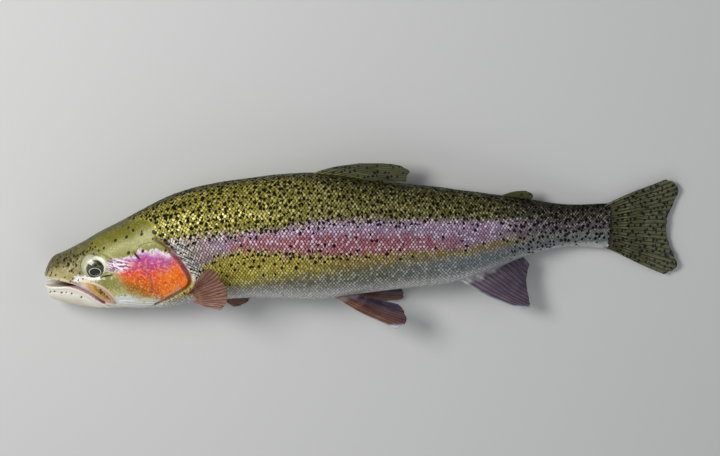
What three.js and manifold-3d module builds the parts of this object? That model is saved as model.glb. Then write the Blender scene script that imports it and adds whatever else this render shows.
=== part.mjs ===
// A life-size rainbow trout, lying on its right flank as a fresh-caught fish rests.
//
// Millimetres, +Z up. The snout points to -X, the back to +Y, and the left flank is on top.
// The origin is on the floor, below the axis of the body where the trunk is deepest.
//
// The body is a loft: oval rings stand square to a gently arched axis, and landmarks along the
// fish give each ring its depth, width and place. The flesh is parted into head, trunk and tail
// stalk. Jaws, gill covers and eyes are let into the head, and the fins are thin fans of rays.
import * as THREE from 'three';
import { mergeVertices } from 'three/addons/utils/BufferGeometryUtils.js';
import Module from 'manifold-3d';

const wasm = await Module();
wasm.setup();

// ---- driving dimensions -------------------------------------------------------------------
const STANDARD_LENGTH = 550; // snout to the root of the tail fin
const BODY_DEPTH = 126; // back to belly, where the trunk is deepest
const BODY_WIDTH = 74; // flank to flank
const SPINE_HEIGHT = 35.4; // the axis above the floor, where the trunk is widest
const DEEPEST_AT = 0.48; // share of the length from the snout: the origin is below this place
const SNOUT_ROUNDING = 10; // how far back the blunt tip of the snout is rounded
const HEAD_BACK = 165; // the head's flesh ends ahead of this distance from the snout
const GILL_COVER = { proud: 0.8, deep: 2 }; // a plate stands out of the flesh and sinks into it
const MAXILLA = { proud: 0.7, deep: 1.8 };
const EYE = { at: 53.5, angle: 0.29, radius: 12.4, halfThickness: 6.6, proud: 2.2 };
const GAP = 0.3; // between neighbouring pieces
const RING_SIDES = 28;
const RING_SPACING = 15;
const BEYOND = 120; // past every part of the body

// Named places along the body. `at` is a share of STANDARD_LENGTH from the snout, depth and width
// are shares of BODY_DEPTH and BODY_WIDTH, arch is how far the axis lies towards the back, and
// sink how far it lies below SPINE_HEIGHT: the limp head and tail come down to the floor.
// A fullness of 2 makes the ring an ellipse, and more makes its sides flatter.
const LANDMARKS = [
  { name: 'snout', at: 0, depth: 0.305, width: 0.34, arch: -41.8, sink: 8.6, fullness: 2 },
  { name: 'nostrils', at: 0.026, depth: 0.381, width: 0.46, arch: -42.9, sink: 8, fullness: 2.1 },
  { name: 'eyes', at: 0.082, depth: 0.542, width: 0.64, arch: -40.2, sink: 6.9, fullness: 2.3 },
  { name: 'cheeks', at: 0.145, depth: 0.675, width: 0.79, arch: -31, sink: 5, fullness: 2.4 },
  { name: 'gill covers', at: 0.204, depth: 0.801, width: 0.89, arch: -21.9, sink: 3.4, fullness: 2.35 },
  { name: 'shoulders', at: 0.273, depth: 0.885, width: 0.935, arch: -9.5, sink: 2.1, fullness: 2.25 },
  { name: 'back', at: 0.364, depth: 0.945, width: 0.975, arch: -2.5, sink: 0.7, fullness: 2.15 },
  { name: 'dorsal fin', at: DEEPEST_AT, depth: 1, width: 1, arch: 0, sink: 0, fullness: 2.1 },
  { name: 'belly fins', at: 0.6, depth: 0.865, width: 0.93, arch: -0.6, sink: 2.4, fullness: 2.1 },
  { name: 'vent', at: 0.727, depth: 0.735, width: 0.757, arch: -1, sink: 8.6, fullness: 2.1 },
  { name: 'anal fin', at: 0.78, depth: 0.63, width: 0.66, arch: 1.2, sink: 12, fullness: 2.1 },
  { name: 'adipose fin', at: 0.836, depth: 0.5, width: 0.54, arch: 4.4, sink: 16, fullness: 2.15 },
  { name: 'tail stalk', at: 0.925, depth: 0.34, width: 0.35, arch: 5, sink: 22.6, fullness: 2.3 },
  { name: 'tail root', at: 1, depth: 0.37, width: 0.17, arch: 3.4, sink: 26.8, fullness: 2.2 },
];

// A smooth curve through points, given by their places and heights in order.
function smoothCurve(x, y) {
  const last = x.length - 1;
  const slope = (i) => (y[i + 1] - y[i]) / (x[i + 1] - x[i]);
  const tangent = x.map((_, i) => {
    if (i === 0) return slope(0);
    if (i === last) return slope(last - 1);
    const before = x[i] - x[i - 1];
    const after = x[i + 1] - x[i];
    return (slope(i - 1) * after + slope(i) * before) / (before + after);
  });
  return (at) => {
    let i = 0;
    while (i < last - 1 && at > x[i + 1]) i += 1;
    const span = x[i + 1] - x[i];
    const t = (at - x[i]) / span;
    const ends = (1 + 2 * t) * (1 - t) ** 2 * y[i] + t * t * (3 - 2 * t) * y[i + 1];
    return ends + span * t * (1 - t) * ((1 - t) * tangent[i] - t * tangent[i + 1]);
  };
}
const places = LANDMARKS.map((mark) => mark.at * STANDARD_LENGTH);
const along = (key) => smoothCurve(places, LANDMARKS.map((mark) => mark[key]));
const depthAt = along('depth');
const widthAt = along('width');
const archAt = along('arch');
const sinkAt = along('sink');
const fullnessAt = along('fullness');

// The axis of the body at a distance from the snout, and the directions of back and left there.
const originAt = DEEPEST_AT * STANDARD_LENGTH;
function axisAt(at) {
  return new THREE.Vector3(at - originAt, archAt(at), SPINE_HEIGHT - sinkAt(at));
}
function directionsAt(at) {
  const tail = axisAt(at + 1).sub(axisAt(at - 1)).normalize();
  const back = new THREE.Vector3().crossVectors(new THREE.Vector3(0, 0, 1), tail).normalize();
  return { back, left: new THREE.Vector3().crossVectors(tail, back) };
}
function bluntness(at) {
  return at >= SNOUT_ROUNDING ? 1 : Math.sqrt(1 - (1 - at / SNOUT_ROUNDING) ** 2);
}

// A point of the body's surface. The angle is 0 on the left flank and a quarter turn on the back.
function skinAt(at, angle, proud = 0) {
  const { back, left } = directionsAt(at);
  const halfDepth = (bluntness(at) * depthAt(at) * BODY_DEPTH) / 2 + proud;
  const halfWidth = (bluntness(at) * widthAt(at) * BODY_WIDTH) / 2 + proud;
  const full = (wave) => Math.sign(wave) * Math.abs(wave) ** (2 / fullnessAt(at));
  return axisAt(at)
    .addScaledVector(back, halfDepth * full(Math.sin(angle)))
    .addScaledVector(left, halfWidth * full(Math.cos(angle)));
}

// ---- solids -------------------------------------------------------------------------------
function solidOf(geometry) {
  const bare = geometry.clone();
  bare.deleteAttribute('normal');
  bare.deleteAttribute('uv');
  const merged = mergeVertices(bare, 1e-4);
  return new wasm.Manifold(
    new wasm.Mesh({
      numProp: 3,
      vertProperties: merged.attributes.position.array,
      triVerts: new Uint32Array(merged.index.array),
    }),
  );
}
function geometryOf(solid) {
  const mesh = solid.getMesh();
  const geometry = new THREE.BufferGeometry();
  geometry.setAttribute('position', new THREE.BufferAttribute(mesh.vertProperties, 3));
  geometry.setIndex(new THREE.BufferAttribute(mesh.triVerts, 1));
  geometry.computeVertexNormals();
  return geometry;
}

// A closed solid over rings of points, the first and last ring each capped by a fan.
function solidOverRings(rings) {
  const sides = rings[0].length;
  const positions = rings.flat().flatMap((p) => p.toArray());
  const index = [];
  for (let r = 0; r < rings.length - 1; r += 1) {
    for (let k = 0; k < sides; k += 1) {
      const a = r * sides + k;
      const b = r * sides + ((k + 1) % sides);
      index.push(a, a + sides, b, b, a + sides, b + sides);
    }
  }
  const cap = (ring, offset, isFirst) => {
    const middle = ring.reduce((sum, p) => sum.add(p), new THREE.Vector3()).divideScalar(sides);
    const centre = positions.push(...middle.toArray()) / 3 - 1;
    for (let k = 0; k < sides; k += 1) {
      const edge = [offset + k, offset + ((k + 1) % sides)];
      index.push(centre, ...(isFirst ? edge : edge.reverse()));
    }
  };
  cap(rings[0], 0, true);
  cap(rings.at(-1), (rings.length - 1) * sides, false);
  const geometry = new THREE.BufferGeometry();
  geometry.setAttribute('position', new THREE.Float32BufferAttribute(positions, 3));
  geometry.setIndex(index);
  return solidOf(geometry);
}

// The body between two distances behind the snout, grown by `proud`. At the snout the rings
// crowd together, so that the tip is round.
function loft(from, to, proud = 0) {
  const steps = Math.round((to - from) / RING_SPACING) + (from > 0 ? 0 : 3);
  const rings = [];
  for (let i = 0; i <= steps; i += 1) {
    const share = from > 0 ? i / steps : (i / steps) ** 1.6;
    const at = Math.max(from + (to - from) * share, 0.15);
    const turn = (k) => (k / RING_SIDES) * 2 * Math.PI;
    rings.push(Array.from({ length: RING_SIDES }, (_, k) => skinAt(at, turn(k), proud)));
  }
  return solidOverRings(rings);
}

// A point of an outline, from a distance behind the snout and a distance towards the back.
const spot = (at, across) => new THREE.Vector2(at - originAt, across);

// A closed outline of stretches: two points make a straight line, more a smooth curve.
function outlineOf(...stretches) {
  const shape = new THREE.Shape();
  shape.moveTo(...stretches[0][0].toArray());
  for (const [, ...points] of stretches) {
    if (points.length === 1) shape.lineTo(...points[0].toArray());
    else shape.splineThru(points);
  }
  return shape;
}

// An outline grown by moving each of its points square to its neighbours.
function grown(outline, by) {
  const points = outline.getPoints(4).filter((p, i, all) => p.distanceTo(all.at(i - 1)) > 1e-3);
  const turn = THREE.ShapeUtils.isClockWise(points) ? -1 : 1;
  return new THREE.Shape(points.map((p, i) => {
    const way = points[(i + 1) % points.length].clone().sub(points.at(i - 1)).normalize();
    return new THREE.Vector2(p.x + turn * by * way.y, p.y - turn * by * way.x);
  }));
}

// What an outline, drawn on the plane of the flanks, covers from one height to another.
function prism(outline, low, high, more = 0) {
  const settings = { depth: high - low, bevelEnabled: false };
  return solidOf(new THREE.ExtrudeGeometry(grown(outline, more), settings).translate(0, 0, low));
}
const throughout = (outline, more = 0) => prism(outline, -BEYOND, BEYOND, more);

// ---- the head -----------------------------------------------------------------------------
// The gill opening, from the nape down to the throat, and everything ahead of it.
const gillOpening = [
  spot(112, 4), spot(122.5, -3.5), spot(136.5, -19), spot(144.5, -36), spot(139, -47), spot(117, -61),
];
const aheadOfGills = outlineOf(
  [spot(-BEYOND, BEYOND), spot(92, BEYOND)],
  [spot(92, BEYOND), spot(96, 32), spot(103, 15), ...gillOpening],
  [gillOpening.at(-1), spot(98, -BEYOND)],
  [spot(98, -BEYOND), spot(-BEYOND, -BEYOND)],
);

// The bony plate over the gills, bounded in front by the groove behind the cheek.
const gillCoverOutline = outlineOf(
  [spot(90, -9), spot(98, -1), spot(111, 2)],
  [spot(111, 2), spot(121, -4.5), spot(134.5, -20), spot(142.5, -36), spot(137, -46), spot(117, -58)],
  [spot(117, -58), spot(106.5, -57)],
  [spot(106.5, -57), spot(108, -44), spot(100, -23), spot(90, -9)],
);

// The long blade of bone that edges the upper jaw behind the lips.
const maxillaOutline = outlineOf(
  [spot(26, -40), spot(36, -40.4), spot(50, -43.4), spot(60, -48.6), spot(67, -56), spot(70.5, -62)],
  [spot(70.5, -62), spot(70, -64.8), spot(66, -64.2)],
  [spot(66, -64.2), spot(57, -60.6), spot(48, -53), spot(36, -46.8), spot(26, -43)],
);

// The slightly open mouth: flesh below the upper lip leaves the head, and flesh below the lower
// lip is the lower jaw.
const upperLip = [
  spot(13, -42.4), spot(25, -44.4), spot(35, -47.8), spot(48, -54.4), spot(58, -62), spot(66, -66.2),
  spot(69, -76),
];
const belowUpperLip = outlineOf(
  [spot(-30, -42.2), ...upperLip],
  [upperLip.at(-1), spot(70, -BEYOND)],
  [spot(70, -BEYOND), spot(-30, -BEYOND)],
);
const lowerLip = [
  spot(13, -48.8), spot(25, -47.6), spot(35, -50), spot(47, -56.2), spot(57, -63.8), spot(64.5, -68),
  spot(67.5, -76),
];
const belowLowerLip = outlineOf(
  [spot(-30, -50), ...lowerLip],
  [lowerLip.at(-1), spot(68.5, -BEYOND)],
  [spot(68.5, -BEYOND), spot(-30, -BEYOND)],
);

// A thin plate of the head's own curve, on one side of the head.
function plate(outline, side, { proud, deep }, more = 0) {
  const shell = loft(0, HEAD_BACK, proud).subtract(loft(0, HEAD_BACK, -deep));
  const half = side === 'left' ? [SPINE_HEIGHT, BEYOND] : [-BEYOND, SPINE_HEIGHT - 8];
  return shell.intersect(prism(outline, ...half, more));
}
const pocketFor = ({ deep }) => ({ proud: 5, deep: deep + GAP });

// An eye is a flattened ball that faces a little forward and towards the back.
function eyeSolid(side, more = 0) {
  const toSide = side === 'left' ? 1 : -1;
  const skin = skinAt(EYE.at, toSide > 0 ? EYE.angle : Math.PI - EYE.angle);
  const ball = new THREE.SphereGeometry(1, 16, 8)
    .rotateX(Math.PI / 2)
    .scale(EYE.radius + more, EYE.radius + more, EYE.halfThickness + more)
    .rotateX(-toSide * 0.16)
    .rotateY(-toSide * 0.13)
    .translate(skin.x, skin.y, skin.z + toSide * (EYE.proud - EYE.halfThickness));
  return solidOf(ball);
}

function headPieces() {
  const flesh = loft(0, HEAD_BACK).intersect(throughout(aheadOfGills));
  const pieces = {
    lower_jaw: flesh.intersect(throughout(belowLowerLip)),
    head: flesh.subtract(throughout(belowUpperLip)),
  };
  for (const side of ['left', 'right']) {
    pieces[`gill_cover_${side}`] = plate(gillCoverOutline, side, GILL_COVER);
    const blade = plate(maxillaOutline, side, MAXILLA);
    pieces[`maxilla_${side}`] = blade.subtract(throughout(belowUpperLip));
    pieces[`eye_${side}`] = eyeSolid(side);
    pieces.head = pieces.head
      .subtract(plate(gillCoverOutline, side, pocketFor(GILL_COVER), GAP))
      .subtract(plate(maxillaOutline, side, pocketFor(MAXILLA), GAP))
      .subtract(eyeSolid(side, GAP));
  }
  return pieces;
}

// ---- trunk and tail stalk -----------------------------------------------------------------
const TRUNK_ENDS = { trunk_front: 250, trunk_middle: 355, trunk_rear: 455, tail_stalk: STANDARD_LENGTH };

function trunkPieces() {
  const pieces = {};
  let from = 88;
  for (const [name, to] of Object.entries(TRUNK_ENDS)) {
    pieces[name] = loft(from + GAP, to);
    from = to;
  }
  pieces.trunk_front = pieces.trunk_front.subtract(throughout(aheadOfGills, GAP));
  return pieces;
}

// ---- fins ---------------------------------------------------------------------------------
// A fin is a fan of soft rays. `front` and `rear` are the ends of its root, `back` points along
// the folded fin and `out` away from the body. The first ray leaves the root at the first of
// `angles` and the last at the second, and `lengths` are the rays' lengths from first to last.
// `buried` is how deep the root lies in the flesh, and `thick` the sheet at its root and edge.
// The sheet's middle rays bow by `cup`, and all rays' ends `droop`, both square to the sheet.
const RAYS = 11;
const JOINTS = 4;

function finSolid({ front, rear, back, out, angles, lengths, bend = 0, cup = 0, droop = 0, buried, thick }) {
  const side = new THREE.Vector3().crossVectors(back, out).normalize();
  const lengthAt = smoothCurve(lengths.map((_, i) => i / (lengths.length - 1)), lengths);
  const ray = (share, face) => {
    const start = THREE.MathUtils.lerp(...angles, share);
    const joint = (lengthAt(share) + buried) / JOINTS;
    const point = front.clone().lerp(rear, share);
    point.addScaledVector(back, -buried * Math.cos(start));
    point.addScaledVector(out, -buried * Math.sin(start));
    const row = [];
    for (let j = 0; j <= JOINTS; j += 1) {
      const r = j / JOINTS;
      const half = THREE.MathUtils.lerp(...thick, Math.sqrt(r)) / 2;
      const lift = cup * Math.sin(Math.PI * share) * r + droop * r * r;
      row.push(point.clone().addScaledVector(side, face * half + lift));
      point.addScaledVector(back, joint * Math.cos(start + bend * r));
      point.addScaledVector(out, joint * Math.sin(start + bend * r));
    }
    return row;
  };
  // Each ring runs out along one face of a ray and home along the other.
  const shares = Array.from({ length: RAYS + 1 }, (_, i) => i / RAYS);
  return solidOverRings(shares.map((share) => [...ray(share, 1), ...ray(share, -1).reverse()]));
}

const degrees = THREE.MathUtils.degToRad;
const TAILWARD = new THREE.Vector3(1, 0, 0);
const BACKWARD = new THREE.Vector3(0, 1, 0);
const BELLYWARD = new THREE.Vector3(0, -1, 0);
const towards = (x, y, z) => new THREE.Vector3(x, y, z).normalize();

const FINS = {
  // Folded low along the back, the first rays longest.
  dorsal_fin: {
    front: skinAt(264, degrees(90)),
    rear: skinAt(332, degrees(90)),
    back: TAILWARD,
    out: BACKWARD,
    angles: [degrees(19), degrees(8)],
    lengths: [46, 62, 58, 38, 20],
    bend: degrees(-12),
    buried: 6,
    thick: [3, 1.2],
  },
  // A small fleshy lobe with no rays.
  adipose_fin: {
    front: skinAt(450, degrees(90)),
    rear: skinAt(463, degrees(90)),
    back: TAILWARD,
    out: BACKWARD,
    angles: [degrees(30), degrees(8)],
    lengths: [24, 25, 20, 12],
    bend: degrees(-34),
    buried: 4,
    thick: [3.6, 1.6],
  },
  anal_fin: {
    front: skinAt(403, degrees(-90)),
    rear: skinAt(466, degrees(-90)),
    back: TAILWARD,
    out: BELLYWARD,
    angles: [degrees(32), degrees(54)],
    lengths: [66, 62, 45, 25, 9],
    bend: degrees(-12),
    droop: -3,
    buried: 6,
    thick: [3.4, 1.1],
  },
  pelvic_fin_left: {
    front: skinAt(284, degrees(-78)),
    rear: skinAt(306, degrees(-76)),
    back: towards(1, 0, 0.03),
    out: towards(0, -1, 0.12),
    angles: [degrees(30), degrees(16)],
    lengths: [67, 67, 56, 41],
    bend: degrees(-6),
    buried: 5,
    thick: [3.4, 1.1],
  },
  pelvic_fin_right: {
    front: skinAt(284, degrees(-108)),
    rear: skinAt(306, degrees(-108)),
    back: towards(1, 0, -0.2),
    out: towards(0, -1, -0.5),
    angles: [degrees(22), degrees(4)],
    lengths: [62, 63, 54, 42],
    bend: degrees(-6),
    buried: 5,
    thick: [3, 1.1],
  },
  // Spread, and lifted away from the flank.
  pectoral_fin_left: {
    front: skinAt(131, degrees(-74)),
    rear: skinAt(130, degrees(-40)),
    back: towards(0.75, 0, 0.66),
    out: towards(0, -1, -0.4),
    angles: [degrees(6), degrees(-52)],
    lengths: [32, 43, 47, 47, 46],
    cup: 3,
    buried: 6,
    thick: [3.6, 1.1],
  },
  pectoral_fin_right: {
    front: skinAt(133, degrees(-128)),
    rear: skinAt(130, degrees(-150)),
    back: towards(1, 0, -0.09),
    out: towards(0, -1, -0.2),
    angles: [degrees(34), degrees(4)],
    lengths: [44, 57, 62, 58],
    bend: degrees(2),
    buried: 6,
    thick: [3, 1.1],
  },
  // Shallowly forked, the outer rays longest.
  tail_fin: {
    front: axisAt(STANDARD_LENGTH - 3).add(new THREE.Vector3(0, 21.5, 0)),
    rear: axisAt(STANDARD_LENGTH - 3).add(new THREE.Vector3(0, -21.5, 0)),
    back: towards(1, -0.03, -0.05),
    out: BACKWARD,
    angles: [degrees(24), degrees(-24)],
    lengths: [66, 76, 70, 63, 61, 63, 70, 76, 66],
    buried: 0,
    thick: [8, 1.2],
  },
};

function finPieces() {
  const gills = loft(60, 150, GILL_COVER.proud + GAP);
  const body = loft(60, STANDARD_LENGTH, GAP).add(gills);
  const cut = ([name, fin]) => [name, finSolid(fin).subtract(body)];
  return Object.fromEntries(Object.entries(FINS).map(cut));
}

// ---- materials ----------------------------------------------------------------------------
function finish(color, roughness, metalness = 0) {
  return new THREE.MeshStandardMaterial({ color, roughness, metalness });
}
const MATERIALS = {
  head: finish('#6f7238', 0.35, 0.1),
  lower: finish('#d9d6c4', 0.3),
  maxilla: finish('#a08a50', 0.35),
  gill: finish('#d0603c', 0.25, 0.15),
  eye: finish('#3a3a1c', 0.05),
  trunk: finish('#7f7f4a', 0.3, 0.2),
  tail: finish('#8c8470', 0.3, 0.2),
  fin: finish('#6b5a50', 0.45),
};
const materialOf = (name) => MATERIALS[name.includes('fin') ? 'fin' : name.split('_')[0]];

// ---- the whole fish -----------------------------------------------------------------------
// The flank is pressed flat where it lies, so nothing reaches below the floor.
const belowFloor = solidOf(new THREE.BoxGeometry(1000, 400, 100).translate(0, 0, -50));
const trout = new THREE.Group();
trout.name = 'rainbow_trout';
for (const [name, solid] of Object.entries({ ...headPieces(), ...trunkPieces(), ...finPieces() })) {
  const mesh = new THREE.Mesh(geometryOf(solid.subtract(belowFloor)), materialOf(name));
  mesh.name = name;
  trout.add(mesh);
}

export default trout;
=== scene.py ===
# %% [markdown]
# # A rainbow trout, fresh from the water
#
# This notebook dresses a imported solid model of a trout: a smooth body, fins and eyes that
# already have the right size and place. Here they get skin, scales, rays and wet colours.
#
# Everything is in metres, X runs from the snout to the tail, Y from the belly to the back, and
# the fish lies on its right flank, so Z points out of its left side.

# %% Load the solid model
import math

import bpy
import numpy as np
from mathutils import Matrix, Vector


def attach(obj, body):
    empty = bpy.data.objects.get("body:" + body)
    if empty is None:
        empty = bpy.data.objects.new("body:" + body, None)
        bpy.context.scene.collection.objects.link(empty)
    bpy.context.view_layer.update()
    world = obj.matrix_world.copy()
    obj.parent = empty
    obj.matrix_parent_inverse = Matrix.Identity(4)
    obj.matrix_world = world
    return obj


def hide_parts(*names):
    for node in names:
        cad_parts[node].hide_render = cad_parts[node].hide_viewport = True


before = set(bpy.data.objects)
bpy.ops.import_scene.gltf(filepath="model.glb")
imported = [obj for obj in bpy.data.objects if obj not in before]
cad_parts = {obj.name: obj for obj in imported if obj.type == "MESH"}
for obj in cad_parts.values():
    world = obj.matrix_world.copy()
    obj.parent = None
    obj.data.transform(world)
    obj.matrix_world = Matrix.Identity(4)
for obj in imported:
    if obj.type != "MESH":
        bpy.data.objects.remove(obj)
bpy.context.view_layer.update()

MM = 0.001
rng = np.random.default_rng(7)
print("the solid model has", len(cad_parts), "nodes")

# %% [markdown]
# ## The shape of the body
#
# A trout's body is a long oval tube. It could be sculpted by hand, but a loft is easier to
# measure: a few landmarks along the fish say how deep and wide it is there, a smooth curve joins
# them, and each ring is an oval. The landmarks are the solid model's own, in millimetres.

# %% Landmarks along the body
STANDARD_LENGTH = 550.0
BODY_DEPTH, BODY_WIDTH = 126.0, 74.0
SPINE_HEIGHT = 35.4
DEEPEST_AT = 0.48
SNOUT_ROUNDING = 10.0
HEAD_END = 165.0
ORIGIN_AT = DEEPEST_AT * STANDARD_LENGTH

#       place   depth  width  arch   sink  fullness
LANDMARKS = np.array([
    [0.000, 0.305, 0.340, -41.8, 8.6, 2.00],  # snout
    [0.026, 0.381, 0.460, -42.9, 8.0, 2.10],  # nostrils
    [0.082, 0.542, 0.640, -40.2, 6.9, 2.30],  # eyes
    [0.145, 0.675, 0.790, -31.0, 5.0, 2.40],  # cheeks
    [0.204, 0.801, 0.890, -21.9, 3.4, 2.35],  # gill covers
    [0.273, 0.885, 0.935, -9.5, 2.1, 2.25],  # shoulders
    [0.364, 0.945, 0.975, -2.5, 0.7, 2.15],  # back
    [0.480, 1.000, 1.000, 0.0, 0.0, 2.10],  # dorsal fin
    [0.600, 0.865, 0.930, -0.6, 2.4, 2.10],  # belly fins
    [0.727, 0.735, 0.757, -1.0, 8.6, 2.10],  # vent
    [0.780, 0.630, 0.660, 1.2, 12.0, 2.10],  # anal fin
    [0.836, 0.500, 0.540, 4.4, 16.0, 2.15],  # adipose fin
    [0.925, 0.340, 0.350, 5.0, 22.6, 2.30],  # tail stalk
    [1.000, 0.370, 0.170, 3.4, 26.8, 2.20],  # tail root
])


def smooth_curve(x, y):
    """A curve through points that doesn't overshoot, as a function of any array."""
    x, y = np.asarray(x, float), np.asarray(y, float)
    step, slope = np.diff(x), np.diff(y) / np.diff(x)
    inner = (slope[:-1] * step[1:] + slope[1:] * step[:-1]) / (step[:-1] + step[1:])
    tangent = np.concatenate([slope[:1], inner, slope[-1:]])

    def curve(at):
        i = np.clip(np.searchsorted(x, at) - 1, 0, len(step) - 1)
        t = (at - x[i]) / step[i]
        ends = (1 + 2 * t) * (1 - t) ** 2 * y[i] + t * t * (3 - 2 * t) * y[i + 1]
        return ends + step[i] * t * (1 - t) * ((1 - t) * tangent[i] - t * tangent[i + 1])

    return curve


depth_at, width_at, arch_at, sink_at, fullness_at = (
    smooth_curve(LANDMARKS[:, 0] * STANDARD_LENGTH, LANDMARKS[:, k]) for k in range(1, 6)
)
print("depth at the gill covers:", round(float(depth_at(112.0)) * BODY_DEPTH, 1), "mm")

# %% [markdown]
# ## From a place on the fish to a point in space
#
# Every later step speaks the fish's own language: how far behind the snout, and how far round
# the ring. One function turns that into points, so skin, scales and fins always fit each other.


# %% The surface of the body
def unit(v):
    return v / np.linalg.norm(v, axis=-1, keepdims=True)


def axis_point(at):
    return np.stack([at - ORIGIN_AT, arch_at(at), SPINE_HEIGHT - sink_at(at)], axis=-1)


def body_point(at, angle, inset=0.0):
    """Millimetres. The angle is 0 on the left flank, a quarter turn on the back."""
    at, angle = np.broadcast_arrays(np.asarray(at, float), np.asarray(angle, float))
    tail = unit(axis_point(at + 1) - axis_point(at - 1))
    back = unit(np.cross([0.0, 0.0, 1.0], tail))
    left = np.cross(tail, back)
    blunt = np.sqrt(1 - (1 - np.clip(at / SNOUT_ROUNDING, 0, 1)) ** 2)
    half_depth = blunt * depth_at(at) * BODY_DEPTH / 2 - inset
    half_width = blunt * width_at(at) * BODY_WIDTH / 2 - inset
    power = 2 / fullness_at(at)
    up = np.sign(np.sin(angle)) * np.abs(np.sin(angle)) ** power
    out = np.sign(np.cos(angle)) * np.abs(np.cos(angle)) ** power
    return (
        axis_point(at)
        + back * (half_depth * up)[..., None]
        + left * (half_width * out)[..., None]
    )


print("the back over the gill covers is at", body_point(112.0, math.pi / 2).round(1), "mm")

# %% [markdown]
# A trout's scales sit in rows that run along the fish, side by side with the lateral line. So
# a place round the ring is best told as a length of skin, measured from the middle of the back.
# Rings of points are resampled to equal lengths: a share of 0 is the back, 1 the belly.

# %% Rings of equal lengths of skin
HEAD_RING_STEP, TRUNK_RINGS, SNOUT_RINGS = 0.7, 130, 34
rounded = SNOUT_ROUNDING * (1 - np.cos(np.linspace(0.03, math.pi / 2, SNOUT_RINGS)))
RING_AT = np.concatenate([
    rounded,
    np.arange(SNOUT_ROUNDING + HEAD_RING_STEP, HEAD_END, HEAD_RING_STEP),
    np.linspace(HEAD_END, STANDARD_LENGTH, TRUNK_RINGS),
])
SHARES = np.linspace(0, 1, 201)


def resample_half(at):
    """The left half of a ring: angles at equal steps of skin, back to belly, and its length."""
    angle = math.pi / 2 - np.linspace(0, math.pi, 721)
    points = body_point(at, angle)
    length = np.concatenate([[0], np.cumsum(np.linalg.norm(np.diff(points, axis=0), axis=1))])
    angles = np.interp(SHARES * length[-1], length, angle)
    return angles, length[-1]


halves = [resample_half(at) for at in RING_AT]
ANGLE_TABLE = np.array([h[0] for h in halves])
HALF_GIRTH = np.array([h[1] for h in halves])


def half_girth(at):
    return np.interp(at, RING_AT, HALF_GIRTH)


def ring_below(at, furthest=1.0):
    """The last ring ahead of a place, and how far on the place is towards the next ring."""
    ring = np.clip(np.searchsorted(RING_AT, at) - 1, 0, len(RING_AT) - 2)
    return ring, np.clip((at - RING_AT[ring]) / (RING_AT[ring + 1] - RING_AT[ring]), 0, furthest)


def angle_at(at, share, side):
    """The angle for body_point at any share of either side, straight between the rings."""
    i, s = ring_below(at)
    f = np.clip(share, 0, 1) * (len(SHARES) - 1)
    j = np.clip(f.astype(int), 0, len(SHARES) - 2)
    t = f - j
    low = ANGLE_TABLE[i, j] * (1 - t) + ANGLE_TABLE[i, j + 1] * t
    high = ANGLE_TABLE[i + 1, j] * (1 - t) + ANGLE_TABLE[i + 1, j + 1] * t
    left = low * (1 - s) + high * s
    return np.where(side > 0, left, math.pi - left)


print("half the girth at the dorsal fin:", half_girth(264).round(1), "mm")


# %% [markdown]
# ## Outlines on the head
#
# Bones lie just under the skin of the head and give it its edges: the gill cover, the cheek,
# the long blade of the upper jaw. Each is drawn as a small outline on the plane of the flanks.
# The signed distance to an outline then says where a ridge rises or a groove sinks.


# %% Outlines and distances
def through(points, steps=8):
    """A smooth line through points (a Catmull-Rom spline)."""
    p = np.asarray(points, float)
    p = np.vstack([2 * p[0] - p[1], p, 2 * p[-1] - p[-2]])
    t = np.linspace(0, 1, steps, endpoint=False)[:, None]
    pieces = []
    for a, b, c, d in zip(p[:-3], p[1:-2], p[2:-1], p[3:]):
        square, cube = 2 * a - 5 * b + 4 * c - d, 3 * b - a - 3 * c + d
        pieces.append(0.5 * (2 * b + (c - a) * t + square * t**2 + cube * t**3))
    return np.vstack([*pieces, p[-2:-1]])


def distance_to(line, x, y, closed=False):
    """How far each place is from a line, and the share along the line of its nearest point."""
    ends = np.roll(line, -1, axis=0) if closed else line[1:]
    starts = line if closed else line[:-1]
    best = np.full(x.shape, 1e9)
    share = np.zeros(x.shape)
    for k, (a, b) in enumerate(zip(starts, ends)):
        way = b - a
        t = np.clip(((x - a[0]) * way[0] + (y - a[1]) * way[1]) / max(way @ way, 1e-9), 0, 1)
        d = np.hypot(x - a[0] - t * way[0], y - a[1] - t * way[1])
        nearer = d < best
        best = np.where(nearer, d, best)
        share = np.where(nearer, (k + t) / len(starts), share)
    return best, share


def inside(line, x, y):
    """True where a place lies inside a closed outline."""
    odd = np.zeros(x.shape, bool)
    for a, b in zip(line, np.roll(line, -1, axis=0)):
        crosses = (a[1] > y) != (b[1] > y)
        run = (b[0] - a[0]) / (b[1] - a[1] + 1e-12)
        odd ^= crosses & (x < a[0] + run * (y - a[1]))
    return odd


def signed_distance(line, x, y, reach=20.0):
    """Positive inside a closed outline. Places further out than the reach aren't measured."""
    low, high = line.min(axis=0) - reach, line.max(axis=0) + reach
    near = (x > low[0]) & (x < high[0]) & (y > low[1]) & (y < high[1])
    result = np.full(x.shape, -reach)
    d, _ = distance_to(line, x[near], y[near], closed=True)
    result[near] = np.where(inside(line, x[near], y[near]), d, -d)
    return result


# %% [markdown]
# Two curves turn a distance into a height or a strength without a hard step: a soft S between
# two limits, and a soft hump round a line.


# %% Soft steps
def ease(low, high, value):
    """0 below low, 1 above high, and a soft S between."""
    t = np.clip((value - low) / (high - low), 0, 1)
    return t * t * (3 - 2 * t)


def bump(value, width):
    """1 at 0, falling softly to both sides."""
    return np.exp(-((value / width) ** 2))


print("half a soft step is", ease(0, 2, 1.0), "and the top of a hump is", bump(0.0, 1.0))

# %% [markdown]
# Each outline has only the points that its shape needs, and a smooth line runs through them.

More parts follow.
